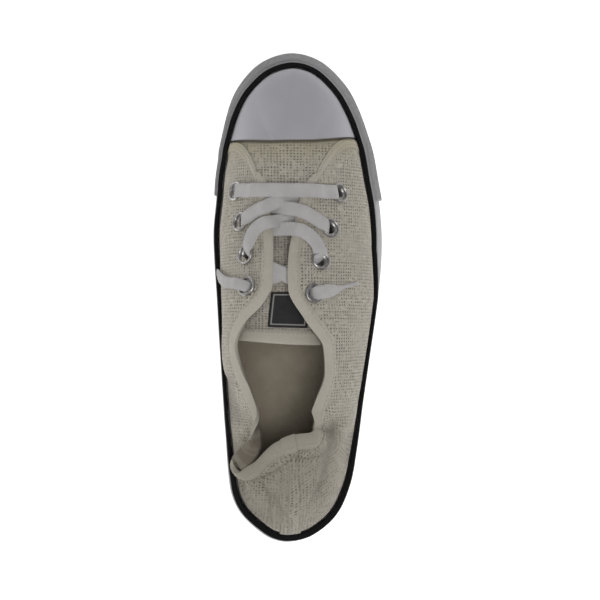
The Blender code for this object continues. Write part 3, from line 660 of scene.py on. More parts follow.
@functools.cache
def outline(u, inset=0.0):
    """A point of the sidewall's foot, moved inwards, flat on the plan."""
    here = station(u)
    before, after = station(u - STATION_STEP), station(u + STATION_STEP)
    run = Vector((
        (after["foot_side"] - before["foot_side"]) * BALL_WIDTH / 2,
        (after["foot_along"] - before["foot_along"]) * LENGTH,
        0.0,
    )).normalized()
    inwards = Vector((-run.y, run.x, 0.0))
    foot = Vector((here["foot_side"] * BALL_WIDTH / 2, here["foot_along"] * LENGTH, 0.0))
    return foot + inwards * inset


@functools.cache
def lean_at(u):
    """How far the sidewall leans in, less on the shoe's inner side."""
    foot = outline(u)
    outer, inner, _, _ = along_table(EDGE, foot.y / LENGTH)
    facing = (1 + (foot - outline(u, 1.0)).x) / 2
    return (inner + (outer - inner) * facing) * WALL_LEAN


@functools.cache
def inner_edge(u):
    """Inset of the sidewall's inner face and height of its top."""
    stripe, up = edge(outline(u).y)
    return lean_at(u) + stripe, up


def lining_inset(u):
    return inner_edge(u)[0] + CLEARANCE + OVERLAY + WALL


@functools.cache
def last(u, v):
    """The upper's inner face. v is -1 at its foot inside the tray, 0 where it
    leaves the sidewall and 1 at its rim, or at the middle of the toe."""
    here = station(u)
    top = inner_edge(u)[1]
    foot = outline(u, lining_inset(u)).copy()
    foot.z = top
    if v < 0:
        floor = OUTSOLE + TRAY_FLOOR + 2 * CLEARANCE
        foot.z = top + (floor - top) * -v
        return foot + Vector((0, 0, spring(foot.y)))
    mirrored = min(u, 2 * TOE_STATION - u) if abs(u - TOE_STATION) <= SPINE_REACH else u
    end = station(mirrored)
    rim = Vector((
        end["rim_side"] * BALL_WIDTH / 2,
        end["rim_along"] * LENGTH,
        end["rim_up"] * INSTEP_HEIGHT,
    ))
    turn = math.radians(here["turn"])
    full = here["full"]
    over = full * (1 - math.cos(v * turn)) / (1 - math.cos(turn)) + (1 - full) * v
    up = full * math.sin(v * turn) / math.sin(turn) + (1 - full) * v
    way = Vector((rim.x - foot.x, rim.y - foot.y, 0.0))
    outwards = -way.normalized()
    beside = Vector((outwards.y, -outwards.x, 0.0))
    hump = math.sin(math.pi * v) * BALL_WIDTH
    point = foot + way * over + outwards * here["bulge"] * hump - beside * here["bow"] * hump
    high = rim.z + crest(point.y) - crest(rim.y)
    point.z = top + up * (high - top) + spring(point.y)
    return point


def wall_normal(u, v):
    """Outward direction of the upper's wall at a station and a share up it."""
    around = last(u + STATION_STEP, v) - last(u - STATION_STEP, v)
    up = last(u, min(v + ROW_STEP, 1.0)) - last(u, v - ROW_STEP)
    return around.cross(up).normalized()


def in_quarter(u):
    turned = u % len(STATIONS)
    return turned <= HEM_STATIONS[0] or turned >= HEM_STATIONS[1]


def in_stay(u):
    turned = u % len(STATIONS)
    return turned <= STAY_STATIONS[0] or turned >= STAY_STATIONS[1]


def smooth(value, low, high):
    share = min(max((value - low) / (high - low), 0.0), 1.0)
    return share * share * (3 - 2 * share)


def fold_at(point):
    """How far the slack canvas stands out or in at a point of the upper."""
    spot = Vector((point.x, point.y))
    total = 0.0
    for height, width, line in FOLDS.values():
        places = [Vector((side * BALL_WIDTH / 2, along * LENGTH)) for side, along in line]
        nearest = 1.0
        for start, stop in zip(places, places[1:]):
            run = stop - start
            share = min(max((spot - start).dot(run) / run.length_squared, 0.0), 1.0)
            nearest = min(nearest, (spot - start - run * share).length)
        total += height * math.exp(-(nearest / width) ** 2)
    return total


def rumple_at(point):
    """Small unevenness of worn canvas, stronger at the collapsed heel."""
    slack = RUMPLE_LEAST + RUMPLE_HEEL * smooth(-point.y / LENGTH, *RUMPLE_ALONG)
    share, finer = FINE_RUMPLE
    fine = share * noise(point * finer / RUMPLE_SIZE)
    return RUMPLE * slack * (noise(point / RUMPLE_SIZE) + fine)


def run_lengths(spots):
    """The length along a line of points, up to each of them."""
    runs = [0.0]
    for before, after in zip(spots, spots[1:]):
        runs.append(runs[-1] + (after - before).length)
    return runs


@functools.cache
def climb(u):
    """Lengths up the wall at a station, row by row from its foot."""
    return dict(zip(ROWS_UP, run_lengths([last(u, v) for v in ROWS_UP])))


def ring_columns(steps):
    return [k / steps for k in range(steps * len(STATIONS) + 1)]


def upper_columns():
    """The ring's places, with a close pair at each step in the wall."""
    columns = set(ring_columns(RING_STEPS))
    columns |= {HEM_STATIONS[0] + HEM_RAMP, HEM_STATIONS[1] - HEM_RAMP}
    columns |= {STAY_STATIONS[0], STAY_STATIONS[0] + HEM_RAMP}
    columns |= {STAY_STATIONS[1], STAY_STATIONS[1] - HEM_RAMP}
    return sorted(columns)


def sheet(columns, rows, point, flat=None):
    """A grid laid on a surface, with the cloth's own lengths as its UV map."""
    columns, rows = list(columns), list(rows)
    mesh = bmesh.new()
    bmesh.ops.create_grid(mesh, x_segments=len(columns) - 1, y_segments=len(rows) - 1, size=1)
    cloth = mesh.loops.layers.uv.new("cloth")
    column, row = mesh.verts.layers.int.new("column"), mesh.verts.layers.int.new("row")
    for vert in mesh.verts:
        vert[column] = round((vert.co.x + 1) / 2 * (len(columns) - 1))
        vert[row] = round((vert.co.y + 1) / 2 * (len(rows) - 1))
        vert.co = point(columns[vert[column]], rows[vert[row]])
    for face in mesh.faces:
        middle = sum(columns[vert[column]] for vert in face.verts) / len(face.verts)
        for loop in face.loops:
            u, v = columns[loop.vert[column]], rows[loop.vert[row]]
            loop[cloth].uv = flat(u, v, middle) if flat else (u, v)
    bmesh.ops.remove_doubles(mesh, verts=mesh.verts, dist=1e-6)
    mesh.normal_update()
    return mesh


def laid(mesh, columns, rows):
    """Each point of a sheet with its place across and along it."""
    column, row = mesh.verts.layers.int["column"], mesh.verts.layers.int["row"]
    return [(vert, columns[vert[column]], rows[vert[row]]) for vert in mesh.verts]


def face_outwards(mesh):
    """Turns an open sheet so that most of it faces away from the shoe's inside."""
    mesh.normal_update()
    inside = Vector((0.0, 0.0, 2 * TRAY_FLOOR))
    facing = 0.0
    for face in mesh.faces:
        facing += (face.calc_center_median() - inside).dot(face.normal) * face.calc_area()
    if facing < 0:
        bmesh.ops.reverse_faces(mesh, faces=mesh.faces)
    mesh.normal_update()


def face_up(mesh):
    """Turns an open sheet so that most of it faces up."""
    if sum(face.normal.z for face in mesh.faces) < 0:
        bmesh.ops.reverse_faces(mesh, faces=mesh.faces)
    mesh.normal_update()


def place(name, mesh, finishes, nodes=(), sharp=40):
    """Puts a finished mesh in the scene as one piece that rides on the shoe."""
    data = bpy.data.meshes.new(name)
    mesh.to_mesh(data)
    mesh.free()
    data.shade_smooth()
    data.set_sharp_from_angle(angle=math.radians(sharp))
    for finish in finishes:
        data.materials.append(finish)
    obj = bpy.data.objects.new(name, data)
    bpy.context.scene.collection.objects.link(obj)
    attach(obj, "root")
    if nodes:
        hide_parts(*nodes)
    return obj


def solid(obj, thickness, offset, group=""):
    shell = obj.modifiers.new("wall", "SOLIDIFY")
    shell.thickness = thickness
    shell.offset = offset
    if group:
        shell.vertex_group = group
    return shell


def soften(obj, width, angle=50, segments=2):
    """Rounds the sharp edges of a finished shape a little."""
    bevel = obj.modifiers.new("edges", "BEVEL")
    bevel.width = width
    bevel.segments = segments
    bevel.limit_method = "ANGLE"
    bevel.angle_limit = math.radians(angle)
    bevel.harden_normals = False
    return bevel


def shade_of(tint, share):
    """A lighter or darker shade of a colour."""
    return tuple(share * part for part in tint)


def canvas_finish(name, tint):
    """Unbleached basket-weave canvas: pinholes on the threads' own grid."""
    made = Finish(name, 0.9)
    where = made.cloth()
    spot = made.place()
    s, t = made.split(where)[:2]
    drift = made.cloud(spot, 0.014, 2.0) - 0.5
    s = s + drift * 0.0006
    t = t + drift * 0.0004
    column = s / PINHOLE_PITCH
    row = t / PINHOLE_PITCH
    cell = made.join(column.whole(), row.whole())
    luck = made.chance(cell)
    away = (column.part() - 0.5) ** 2 + (row.part() - 0.5) ** 2
    plain = made.mark("plain")
    open_weave = made.cloud(spot, 0.020, 2.0).ease(0.34, 0.56)
    pinhole = away.ease(PINHOLE**2, 0.15 * PINHOLE**2) * luck.ease(0.0, 0.6)
    pinhole = pinhole * (1.0 - plain) * (0.45 + 0.55 * open_weave)
    over = (column * (2 * math.pi)).sine()
    under = (row * (2 * math.pi)).sine()
    thread = (over * under) * 0.5 + 0.5
    rib = abs((t / (PINHOLE_PITCH / 3)).part() - 0.5) * 2
    streak = made.cloud(made.join(s * 1.2, t * 9), 0.006, 3.0)
    slub = made.cloud(made.join(s * 8, t * 1.1), 0.007, 3.0)
    cloudy = made.cloud(spot, 0.045, 3.0)
    fair = made.mix(cloudy.ease(0.3, 0.7), shade_of(tint, 0.95), shade_of(tint, 1.04))
    woven = 1.0 - plain * 0.75
    ribbed = made.mix(streak.ease(0.38, 0.62) * woven, fair, shade_of(tint, 0.79))
    slubbed = made.mix(slub.ease(0.45, 0.70) * 0.6 * woven, ribbed, shade_of(tint, 1.22))
    x, y = made.split(spot)[:2]
    bow = (x * (2 / BALL_WIDTH) - CAP_MIDDLE) ** 2 * CAP_CURVE
    behind = bow + CAP_BACK * LENGTH - y
    aged = made.mix(behind.ease(0.018, 0.001) * 0.55, slubbed, (0.47, 0.43, 0.27))
    # a thin dark line just behind the toe cap's back edge: painted shadow of the gap under the cap
    cap_gap_shadowed = made.mix(behind.ease(0.0021, 0.0009) * 0.85, aged, (0.07, 0.06, 0.03))
    # a painted shadow line along each plain band's inner edge, where its fold steps down to the
    # weave
    hem_edge_shadow = plain * (1.0 - plain) * 4
    hem_shadowed = made.mix(hem_edge_shadow * 0.3, cap_gap_shadowed, shade_of(tint, 0.42))
    # painted shade in the folds' troughs, darker where a fold sinks deeper
    shaded = made.mix(made.mark("shade") * 0.55, hem_shadowed, shade_of(tint, 0.25))
    # painted shade in patches along the folds, and the canvas darker towards the heel
    patch_shaded = made.mix(made.mark("fold_shade_and_heel_dark") * 0.6, shaded, (0.23, 0.205, 0.16))
    colour = made.mix(pinhole * 0.72, patch_shaded, (0.10, 0.088, 0.066))
    height = (thread * 0.35 + rib * 0.12 + streak * 0.6) * woven - pinhole * 1.8
    return made.finish(colour, made.relief(height, 0.00028))


def lining_finish():
    """Plain cotton lining, a little yellowed, with the wrinkles of a slack heel and painted shade
    in their troughs.
    """
    made = Finish("lining", 0.92)
    where = made.cloth()
    s, t = made.split(where)[:2]
    fine = (s / 0.0005 * math.pi).sine() * (t / 0.0005 * math.pi).sine()
    cloudy = made.cloud(made.place(), 0.020, 4.0)
    wrinkles = made.cloud(made.join(s, t * 0.35), 0.0045, 2.0)
    colour = made.mix(cloudy.ease(0.3, 0.7), (0.30, 0.27, 0.22), (0.23, 0.205, 0.165))
    # painted shade in the wrinkles' troughs
    wrinkle_shaded = made.mix(wrinkles.ease(0.48, 0.34) * 0.6, colour, (0.14, 0.115, 0.085))
    return made.finish(wrinkle_shaded, made.relief(fine, 0.0001, made.relief(wrinkles, 0.0022)))


def rubber_finish(name, tint, dirt, roughness, grain=0.00004):
    """Moulded rubber with a faint bloom and the marks of wear."""
    made = Finish(name, roughness)
    spot = made.place()
    cloudy = made.cloud(spot, 0.030, 4.0)
    marks = made.cloud(spot, 0.004, 6.0)
    colour = made.mix(cloudy.ease(0.35, 0.7), tint, shade_of(tint, 0.93))
    colour = made.mix(marks.ease(0.56, 0.75) * dirt, colour, (0.30, 0.29, 0.27))
    rough = cloudy * 0.2 + roughness - 0.1
    return made.finish(colour, made.relief(made.cloud(spot, 0.0012, 3.0), grain), rough)


def lace_finish():
    """A flat tubular braid: fine chevrons along its length."""
    made = Finish("lace_weave", 0.85)
    where = made.cloth()
    along, across = made.split(where)[:2]
    lean = abs(across - 0.5) * 2
    chevron = ((along / 0.0011 + lean * 1.4) * (2 * math.pi)).sine()
    pick = ((across * 30) * math.pi).sine()
    braid = chevron * 0.5 + pick * 0.35
    grey = made.cloud(made.place(), 0.010, 3.0)
    colour = made.mix(grey.ease(0.3, 0.75), (0.60, 0.585, 0.58), (0.52, 0.505, 0.50))
    # darker in the braid's grooves: painted shade
    colour = made.mix((0.0 - braid).ease(0.1, 0.8) * 0.12, colour, (0.36, 0.35, 0.34))
    return made.finish(colour, made.relief(braid, 0.00005))


def footbed_finish():
    """Worn beige cloth over foam, with soft darker patches."""
    made = Finish("footbed_cloth", 0.9)
    spot = made.place()
    x, y = made.split(spot)[:2]
    weave = (x / 0.0006 * math.pi).sine() * (y / 0.0006 * math.pi).sine()
    worn = made.cloud(spot, 0.018, 4.0)
    colour = made.mix(worn.ease(0.3, 0.7), (0.44, 0.385, 0.30), (0.36, 0.315, 0.24))
    return made.finish(colour, made.relief(weave * 0.5 + worn, 0.00020))


def metal_finish():
    made = Finish("nickel_plate", 0.3, 1.0)
    spot = made.place()
    dull = made.cloud(spot, 0.003, 3.0)
    colour = made.mix(dull.ease(0.4, 0.7), (0.50, 0.49, 0.475), (0.30, 0.29, 0.28))
    return made.finish(colour, made.relief(dull, 0.00006), dull * 0.25 + 0.27)


def thread_finish():
    made = Finish("sewing_thread", 0.8)
    twist = made.cloud(made.place(), 0.0006, 2.0)
    colour = made.mix(twist, (0.52, 0.49, 0.41), (0.40, 0.37, 0.30))
    return made.finish(colour)


def label_finish():
    """A plain woven label: dark satin with a pale line inside its edge."""
    made = Finish("woven_label", 0.7)
    along, across = made.split(made.cloth())[:2]
    side = abs(across - 0.5) * 2
    end = abs(along - 0.5) * 2
    nearest = side.most(end)
    line = nearest.ease(0.80, 0.82) * (1.0 - nearest.ease(0.87, 0.89))
    pick = (across * 90 * math.pi).sine() * 0.5 + (along * 120 * math.pi).sine() * 0.5
    dark = made.mix(made.cloud(made.place(), 0.004), (0.020, 0.020, 0.022), (0.045, 0.045, 0.045))
    colour = made.mix(line * 0.85, dark, (0.48, 0.47, 0.45))
    return made.finish(colour, made.relief(pick, 0.00008))


def at_heel(u):
    """1 where the wall faces backwards and 0 along the shoe's sides."""
    turned = u % len(STATIONS)
    return 1 - smooth(min(turned, len(STATIONS) - turned), *HEEL_TURN)


@functools.cache
def weft(u):
    """Lengths across the canvas, row by row down from the rim at a station."""
    turning = at_heel(u)
    total = last(u, 1.0).x * (1 if u % len(STATIONS) < TOE_STATION else -1)
    found = {1.0: total}
    for high, low in zip(ROWS_UP[::-1], ROWS_UP[-2::-1]):
        above, below = last(u, high), last(u, low)
        drop = above.z - below.z - (crest(above.y) - crest(below.y)) * (1 - turning)
        gap = (above.x - below.x) * (1 - turning), (above.y - below.y) * turning
        total += math.hypot(*gap, drop)
        found[low] = total
    return found


def upper_flat(u, v, middle):
    """The canvas's own lengths: along and across the shoe, and round the heel."""
    point = last(u, v)
    if not in_quarter(middle):
        return (point.y * 1.12, point.x)
    off = point - last(u, MID_SHARE)
    side = 1 if u % len(STATIONS) < TOE_STATION else -1
    straight = off.y * (1 - at_heel(u)) + side * off.x * at_heel(u)
    return (GIRTH[u] + straight, weft(u)[v])


def girth_lengths():
    """Length along the shoe at mid height, up to each column."""
    total = 0.0
    columns = upper_columns()
    found = {columns[0]: 0.0}
    for before, after in zip(columns, columns[1:]):
        step = last(after, MID_SHARE) - last(before, MID_SHARE)
        total += math.copysign(math.hypot(step.x * at_heel(before), step.y), step.y)
        found[after] = total
    return found


GIRTH = girth_lengths()


def hem_distance(u, v):
    """How far behind the quarter's front edge a point lies."""
    if not in_quarter(u):
        return 0.0
    nearest = min(HEM_STATIONS, key=lambda hem: abs(hem - u % len(STATIONS)))
    if abs(nearest - u % len(STATIONS)) > 2:
        return 1.0
    return (last(u, v) - last(nearest, v)).length


def rim_distance(u, v):
    """How far below the collar's or throat's rim a point lies."""
    turned = u % len(STATIONS)
    if HEM_STATIONS[0] < turned < HEM_STATIONS[1]:
        return 1.0
    return climb(u)[1.0] - climb(u)[v]


def roll_at(u, rim):
    """The collar's edge is a soft roll with a groove below it."""
    if not in_quarter(u):
        return 0.0
    roll = RIM_ROLL * math.sin(math.pi * min(rim / RIM_WIDTH, 1.0))
    groove = GROOVE_SHARE * RIM_ROLL * math.exp(-(((rim - RIM_WIDTH) / GROOVE_WIDTH) ** 2))
    return roll - groove


def fold_shade_and_heel_dark_at(point):
    """Painted shade in patches along the folds and at the strip's edge, and the canvas darker
    towards the heel.
    """
    spot = Vector((point.x / (BALL_WIDTH / 2), point.y / LENGTH * 2))
    total = HEEL_DARKENING * smooth(-point.y / LENGTH, *HEEL_DARKENING_ALONG)
    for side, along, reach, strength in FOLD_SHADE_PATCHES:
        total += strength * math.exp(-(((spot - Vector((side, 2 * along))).length / reach) ** 2))
    return min(total, 1.0)


def pocket_at(u, v):
    """How far the slack wall is sunk in below the collar's flared inner corner."""
    turned = u % len(STATIONS)
    start, stop = POCKET_STATIONS
    if not start < turned < stop or not 0 < v < 1:
        return 0.0
    around = math.sin(math.pi * (turned - start) / (stop - start)) ** 2
    return POCKET_DEPTH * around * math.sin(math.pi * v ** 1.4)


def make_upper(canvas, lining):
    """The quarters and vamp as one canvas wall with folded hems and creases."""
    columns = upper_columns()
    mesh = sheet(columns, ROWS_UP, last, upper_flat)
    face_outwards(mesh)
    plain, fold_shade_and_heel_dark, shade = (mesh.verts.layers.float.new(name) for name in MARKS)
    thickest = WALL + QUARTER + HEEL_STAY + HEM_FOLD
    weights = []
    for vert, u, v in laid(mesh, columns, ROWS_UP):
        rim, hem = rim_distance(u, v), hem_distance(u, v)
        folded = in_quarter(u) * max(
            1 - smooth(rim, RIM_WIDTH, RIM_WIDTH + HEM_EDGE),
            1 - smooth(hem, HEM_WIDTH, HEM_WIDTH + HEM_EDGE),
        )
        near_toe = smooth(vert.co.y / LENGTH, CAP_BACK - CAP_PLAIN, CAP_BACK)
        vert[plain] = max(folded, near_toe)
        vert[shade] = min(max(-fold_at(vert.co) / FOLD_SHADE, 0.0), 1.0)
        vert[fold_shade_and_heel_dark] = fold_shade_and_heel_dark_at(vert.co)
        wall = WALL + QUARTER * in_quarter(u) + HEEL_STAY * in_stay(u) + HEM_FOLD * folded
        weights.append(wall / thickest)
        fade = smooth(v, *FOLDS_UP) * (1 - smooth(vert.co.y / LENGTH, *FOLDS_END))
        vert.co += vert.normal * fade * (fold_at(vert.co) + rumple_at(vert.co))
        vert.co += vert.normal * (roll_at(u, rim) - pocket_at(u, v))
    obj = place("canvas_upper", mesh, (canvas, lining), ["upper"])
    group = obj.vertex_groups.new(name="wall")
    for index, weight in enumerate(weights):
        group.add([index], weight, "REPLACE")
    shell = solid(obj, thickest, 1.0, "wall")
    shell.material_offset = 1
    shell.material_offset_rim = 0
    soften(obj, 0.0005)
    return obj


def surface_of(obj):
    """The object's faces as they are now, for finding heights on them."""
    return BVHTree.FromObject(obj, bpy.context.evaluated_depsgraph_get())


def top_of(tree, x, y):
    return tree.ray_cast(Vector((x, y, 3 * INSTEP_HEIGHT)), Vector((0, 0, -1)))


def eyelet_seats(outside):
    """Name, place and outward direction of each eyelet, outer side first."""
    seats = []
    for side, rows in (("lateral", LATERAL_EYELETS), ("medial", MEDIAL_EYELETS)):
        for number, (across, along) in enumerate(rows, 1):
            point, normal, _, _ = top_of(outside, across * BALL_WIDTH / 2, along * LENGTH)
            seats.append((f"{side}_{number}", point, normal))
    return seats


def open_eyelet_holes(upper, seats):
    """Takes away the canvas inside each eyelet's flange."""
    mesh = bmesh.new()
    mesh.from_mesh(upper.data)
    gone = []
    for vert in mesh.verts:
        for _, point, normal in seats:
            gap = vert.co - point
            beside = gap - normal * gap.dot(normal)
            if gap.length < 2 * EYELET_RADIUS and beside.length < EYELET_CUT:
                gone.append(vert)
                break
    bmesh.ops.delete(mesh, geom=gone, context="VERTS")
    mesh.to_mesh(upper.data)
    mesh.free()


def make_eyelet(name, point, normal, metal):
    """A turned ring: a rolled flange outside, a barrel and a roll inside."""
    half = EYELET_ROLL * (EYELET_RADIUS - EYELET_HOLE)
    profile = []
    for k in range(EYELET_ARC + 1):
        turn = math.pi * k / EYELET_ARC
        radius = EYELET_RADIUS - half + half * math.cos(turn)
        profile.append((radius, EYELET_SEAT + EYELET_RISE * math.sin(turn)))
    profile += EYELET_SECTION
    mesh = bmesh.new()
    verts = [mesh.verts.new((radius, 0, height)) for radius, height in profile]
    for first, second in zip(verts, verts[1:] + verts[:1]):
        mesh.edges.new((first, second))
    bmesh.ops.spin(
        mesh, geom=mesh.verts[:] + mesh.edges[:], axis=(0, 0, 1), cent=(0, 0, 0),
        angle=2 * math.pi, steps=EYELET_STEPS, use_merge=True,
    )
    bmesh.ops.remove_doubles(mesh, verts=mesh.verts, dist=1e-6)
    bmesh.ops.recalc_face_normals(mesh, faces=mesh.faces)
    turned = normal.to_track_quat("Z", "Y").to_matrix().to_4x4()
    turned.translation = point
    mesh.transform(turned)
    return place(f"eyelet_ring_{name}", mesh, (metal,), [f"eyelet_{name}"])


def cap_edge_bow(x):
    """How far forward the cap's back edge lies at x, from its middle."""
    return CAP_CURVE * (2 * x / BALL_WIDTH - CAP_MIDDLE) ** 2


def make_toe_cap(rubber):
    """The front of the upper's own surface, moved out and cut off behind."""
    columns = [u for u in upper_columns() if abs(u - TOE_STATION) <= CAP_REACH]
    mesh = sheet(columns, [v for v in ROWS_UP if v > CAP_FOOT], last)
    face_outwards(mesh)
    for vert in mesh.verts:
        vert.co += vert.normal * (WALL + CLEARANCE)
    for vert in mesh.verts:
        vert.co.y -= cap_edge_bow(vert.co.x)
    bmesh.ops.bisect_plane(
        mesh, geom=mesh.verts[:] + mesh.edges[:] + mesh.faces[:], dist=1e-7,
        plane_co=(0, CAP_BACK * LENGTH, 0), plane_no=(0, -1, 0), clear_outer=True,
    )
    for vert in mesh.verts:
        vert.co.y += cap_edge_bow(vert.co.x)
    inner = [vert for vert in mesh.verts if not vert.is_boundary]
    for _ in range(CAP_SMOOTHINGS):
        bmesh.ops.smooth_vert(
            mesh, verts=inner, factor=0.5, use_axis_x=True, use_axis_y=True, use_axis_z=True,
        )
    obj = place("rubber_toe_cap", mesh, (rubber,), ["toe_cap"])
    solid(obj, CAP, 1.0)
    soften(obj, 0.0004, segments=3)
    return obj


def ring_sheet(profile, columns):
    """A closed moulding round the shoe. profile gives the corners at a station."""
    count = len(profile(columns[0]))
    return sheet(columns, range(count + 1), lambda u, v: profile(u)[v % count])


def stripe_foot(y):
    return edge(y)[1] - STRIPE_HEIGHT


def ring_point(u, inset, height):
    """A point of the sole's ring, with the toe spring of its outline."""
    point = outline(u, inset).copy()
    point.z = height + spring(outline(u).y)
    return point


def on_sidewall(u, share, proud=0.0):
    """A point on the sidewall's outer face at a share of its height."""
    foot = OUTSOLE + CLEARANCE
    height = foot + (stripe_foot(outline(u).y) - foot) * share
    return ring_point(u, lean_at(u) * share - proud, height)


def make_sidewall(rubber):
    """The white wall around the tray, with two fine lines near its top."""

    @functools.cache
    def profile(u):
        foot, floor = OUTSOLE + CLEARANCE, OUTSOLE + TRAY_FLOOR
        inner = inner_edge(u)[0]
        top = stripe_foot(outline(u).y) - CLEARANCE
        tray = (
            (lean_at(u) + 0.0003, top), (inner, top), (inner, floor), (inner + TRAY_REACH, floor),
            (inner + TRAY_REACH, foot), (SIDEWALL_FOOT, foot),
        )
        face = [on_sidewall(u, share, proud) for share, proud in SIDEWALL_FACE]
        return face + [ring_point(u, inset, height) for inset, height in tray]

    mesh = ring_sheet(profile, ring_columns(SOLE_STEPS))
    bmesh.ops.recalc_face_normals(mesh, faces=mesh.faces)
    return place("rubber_sidewall", mesh, (rubber,), ["midsole"], sharp=30)


def make_stripe(rubber):
    """The black foxing stripe, laid by hand, so not quite even."""

    @functools.cache
    def profile(u):
        lean = lean_at(u)
        width, up = edge(outline(u).y)
        wander = sum(reach * noise(outline(u) / size) for reach, size in STRIPE_WANDER)
        top = [
            (lean + side * width + inset + side * wander, up - drop)
            for side, inset, drop in STRIPE_TOP
        ]
        foot = up - STRIPE_HEIGHT
        corners = [(lean, foot), *top, (lean + width, foot)]
        return [ring_point(u, inset, height) for inset, height in corners]

    mesh = ring_sheet(profile, ring_columns(2 * SOLE_STEPS))
    bmesh.ops.recalc_face_normals(mesh, faces=mesh.faces)
    nodes = ["foxing_stripe"]
    return place("black_foxing_stripe", mesh, (rubber,), nodes, sharp=60)


def make_bumper(rubber):
    """The strip around the toe with its moulded diamonds and square ends."""
    start, stop = BUMPER_ENDS
    count = BUMPER_STEPS * math.ceil(stop - start)
    columns = [start + (stop - start) * k / count for k in range(count + 1)]
    runs = run_lengths([outline(u) for u in columns])
    length_at = dict(zip(columns, runs))
    rows = [-1.0, *(k / BUMPER_ROWS for k in range(BUMPER_ROWS + 1)), 2.0]
    height = BUMPER_TOP * (WALL_HEIGHT - OUTSOLE)

    def point(u, v):
        if v < 0:
            return on_sidewall(u, 0.0, CLEARANCE)
        if v > 1:
            return on_sidewall(u, BUMPER_TOP, CLEARANCE)
        along, up = length_at[u] / DIAMOND, v * height / DIAMOND
        ridge = max(math.cos(math.pi * (along + up)), math.cos(math.pi * (along - up)))
        from_end = min(length_at[u], runs[-1] - length_at[u])
        inner = smooth(min(v, 1 - v), *DIAMOND_FRAME) * smooth(from_end, *DIAMOND_FROM_END)
        proud = BUMPER_PROUD - DIAMOND_RISE * inner * (1 - smooth(ridge, *DIAMOND_EDGE))
        if v in (0.0, 1.0) or from_end == 0.0:
            proud -= BUMPER_ROUND
        return on_sidewall(u, BUMPER_FOOT + (BUMPER_TOP - 2 * BUMPER_FOOT) * v, proud)

    mesh = sheet(columns, rows, point)
    bmesh.ops.holes_fill(mesh, edges=[e for e in mesh.edges if e.is_boundary], sides=0)
    bmesh.ops.recalc_face_normals(mesh, faces=mesh.faces)
    return place("diamond_bumper", mesh, (rubber,), ["toe_bumper"], sharp=60)


def tongue_point(across, along):
    """The tongue's top face; across runs from -1 to 1."""
    middle, half, up, drop = soft_table(TONGUE_ROWS, along)
    side = (middle + half * across) * BALL_WIDTH / 2
    slant = TONGUE_SLANT * smooth(-along, *SLANT_ALONG)
    y = along * LENGTH - slant * across
    return Vector((side, y, (up - drop * across**2) * INSTEP_HEIGHT + spring(y)))


def make_tongue(canvas, lining):
    half = TONGUE_SIDE_STEPS
    across = [k / half for k in range(-half, half + 1)]
    low, high = TONGUE_ROWS[-1][0], TONGUE_ROWS[0][0]
    rows = [low + (high - low) * k / TONGUE_STEPS for k in range(TONGUE_STEPS + 1)]

    def flat(side, along, _):
        return (tongue_point(side, along).x, along * LENGTH * TONGUE_STRETCH)

    mesh = sheet(across, rows, tongue_point, flat)
    face_up(mesh)
    plain, *_ = [mesh.verts.layers.float.new(name) for name in MARKS]
    for vert, side, along in laid(mesh, across, rows):
        end = 1 - smooth((along - low) * LENGTH, *TONGUE_END_HEM)
        hem = smooth(abs(side), *TONGUE_SIDE_HEM)
        vert[plain] = max(end, hem)
        vert.co += vert.normal * HEM_FOLD * max(end, hem)
    obj = place("canvas_tongue", mesh, (canvas, lining), ["tongue"])
    solid(obj, TONGUE, -1.0).material_offset = 1
    soften(obj, 0.0007, segments=3)
    return obj


def make_label(finish):
    """A plain woven label sewn to the tongue."""
    steps = range(LABEL_STEPS + 1)
    across = [LABEL_HALF * (2 * k / LABEL_STEPS - 1) for k in steps]
    start, stop = LABEL_ALONG
    rows = [start + (stop - start) * k / LABEL_STEPS for k in steps]

    def point(side, along):
        return tongue_point(LABEL_MIDDLE + side, along) + Vector((0, 0, LABEL_RISE))

    def flat(side, along, _):
        return ((along - start) / (stop - start), (side / LABEL_HALF + 1) / 2)

    mesh = sheet(across, rows, point, flat)
    face_up(mesh)
    obj = place("tongue_label", mesh, (finish,))
    solid(obj, LABEL, 1.0)
    return obj


def bed_point(bed, side, along, off, upper, tongue):
    """The lace's middle over or under a surface, and the surface's direction."""
    x, y = side * BALL_WIDTH / 2, along * LENGTH
    hit, normal, _, _ = top_of(tongue if bed == "tongue" else upper, x, y)
    away = CLEARANCE + LACE / 2 + off * LACE
    if bed == "over":
        away += EYELET_SEAT + EYELET_RISE
    if bed == "under":
        away = -away - WALL - QUARTER
    return Vector((x, y, hit.z + away / max(normal.z, STEEPEST))), normal


def pulled_taut(rows, upper, tongue):
    """A strand's points: level where it would sag over a gap, its face turning slowly."""
    laid_down = [bed_point(*row, upper, tongue) for row in rows]
    spots = [spot for spot, _ in laid_down]
    for _ in range(TAUT_PASSES):
        for k in range(1, len(rows) - 1):
            if rows[k][0] != "under":
                spots[k].z = max(spots[k].z, (spots[k - 1].z + spots[k + 1].z) / 2)
    facing = []
    for k in range(len(rows)):
        near = [normal for _, normal in laid_down[max(k - 2, 0):k + 3]]
        facing.append((sum(near, Vector()).normalized() + Vector((0, 0, FACE_UP))).normalized())
    return [(*spot, *normal) for spot, normal in zip(spots, facing)]


def through(points, steps):
    """More points on a smooth curve through the given ones, of any size."""
    ends = [points[0], *points, points[-1]]
    found = []
    for first in range(len(points) - 1):
        four = ends[first:first + 4]
        for k in range(steps):
            found.append(tuple(rounded(values, k / steps) for values in zip(*four)))
    return found + [tuple(points[-1])]


def dive(seat, came_from):
    """Where a lace turns over the eyelet's edge and goes down its hole."""
    _, point, normal = seat
    way = point - came_from
    way = (way - normal * way.dot(normal)).normalized()
    return [
        (*(point + way * ahead + normal * out), *(normal * face_out + way * facing).normalized())
        for ahead, out, facing, face_out in DIVE
    ]


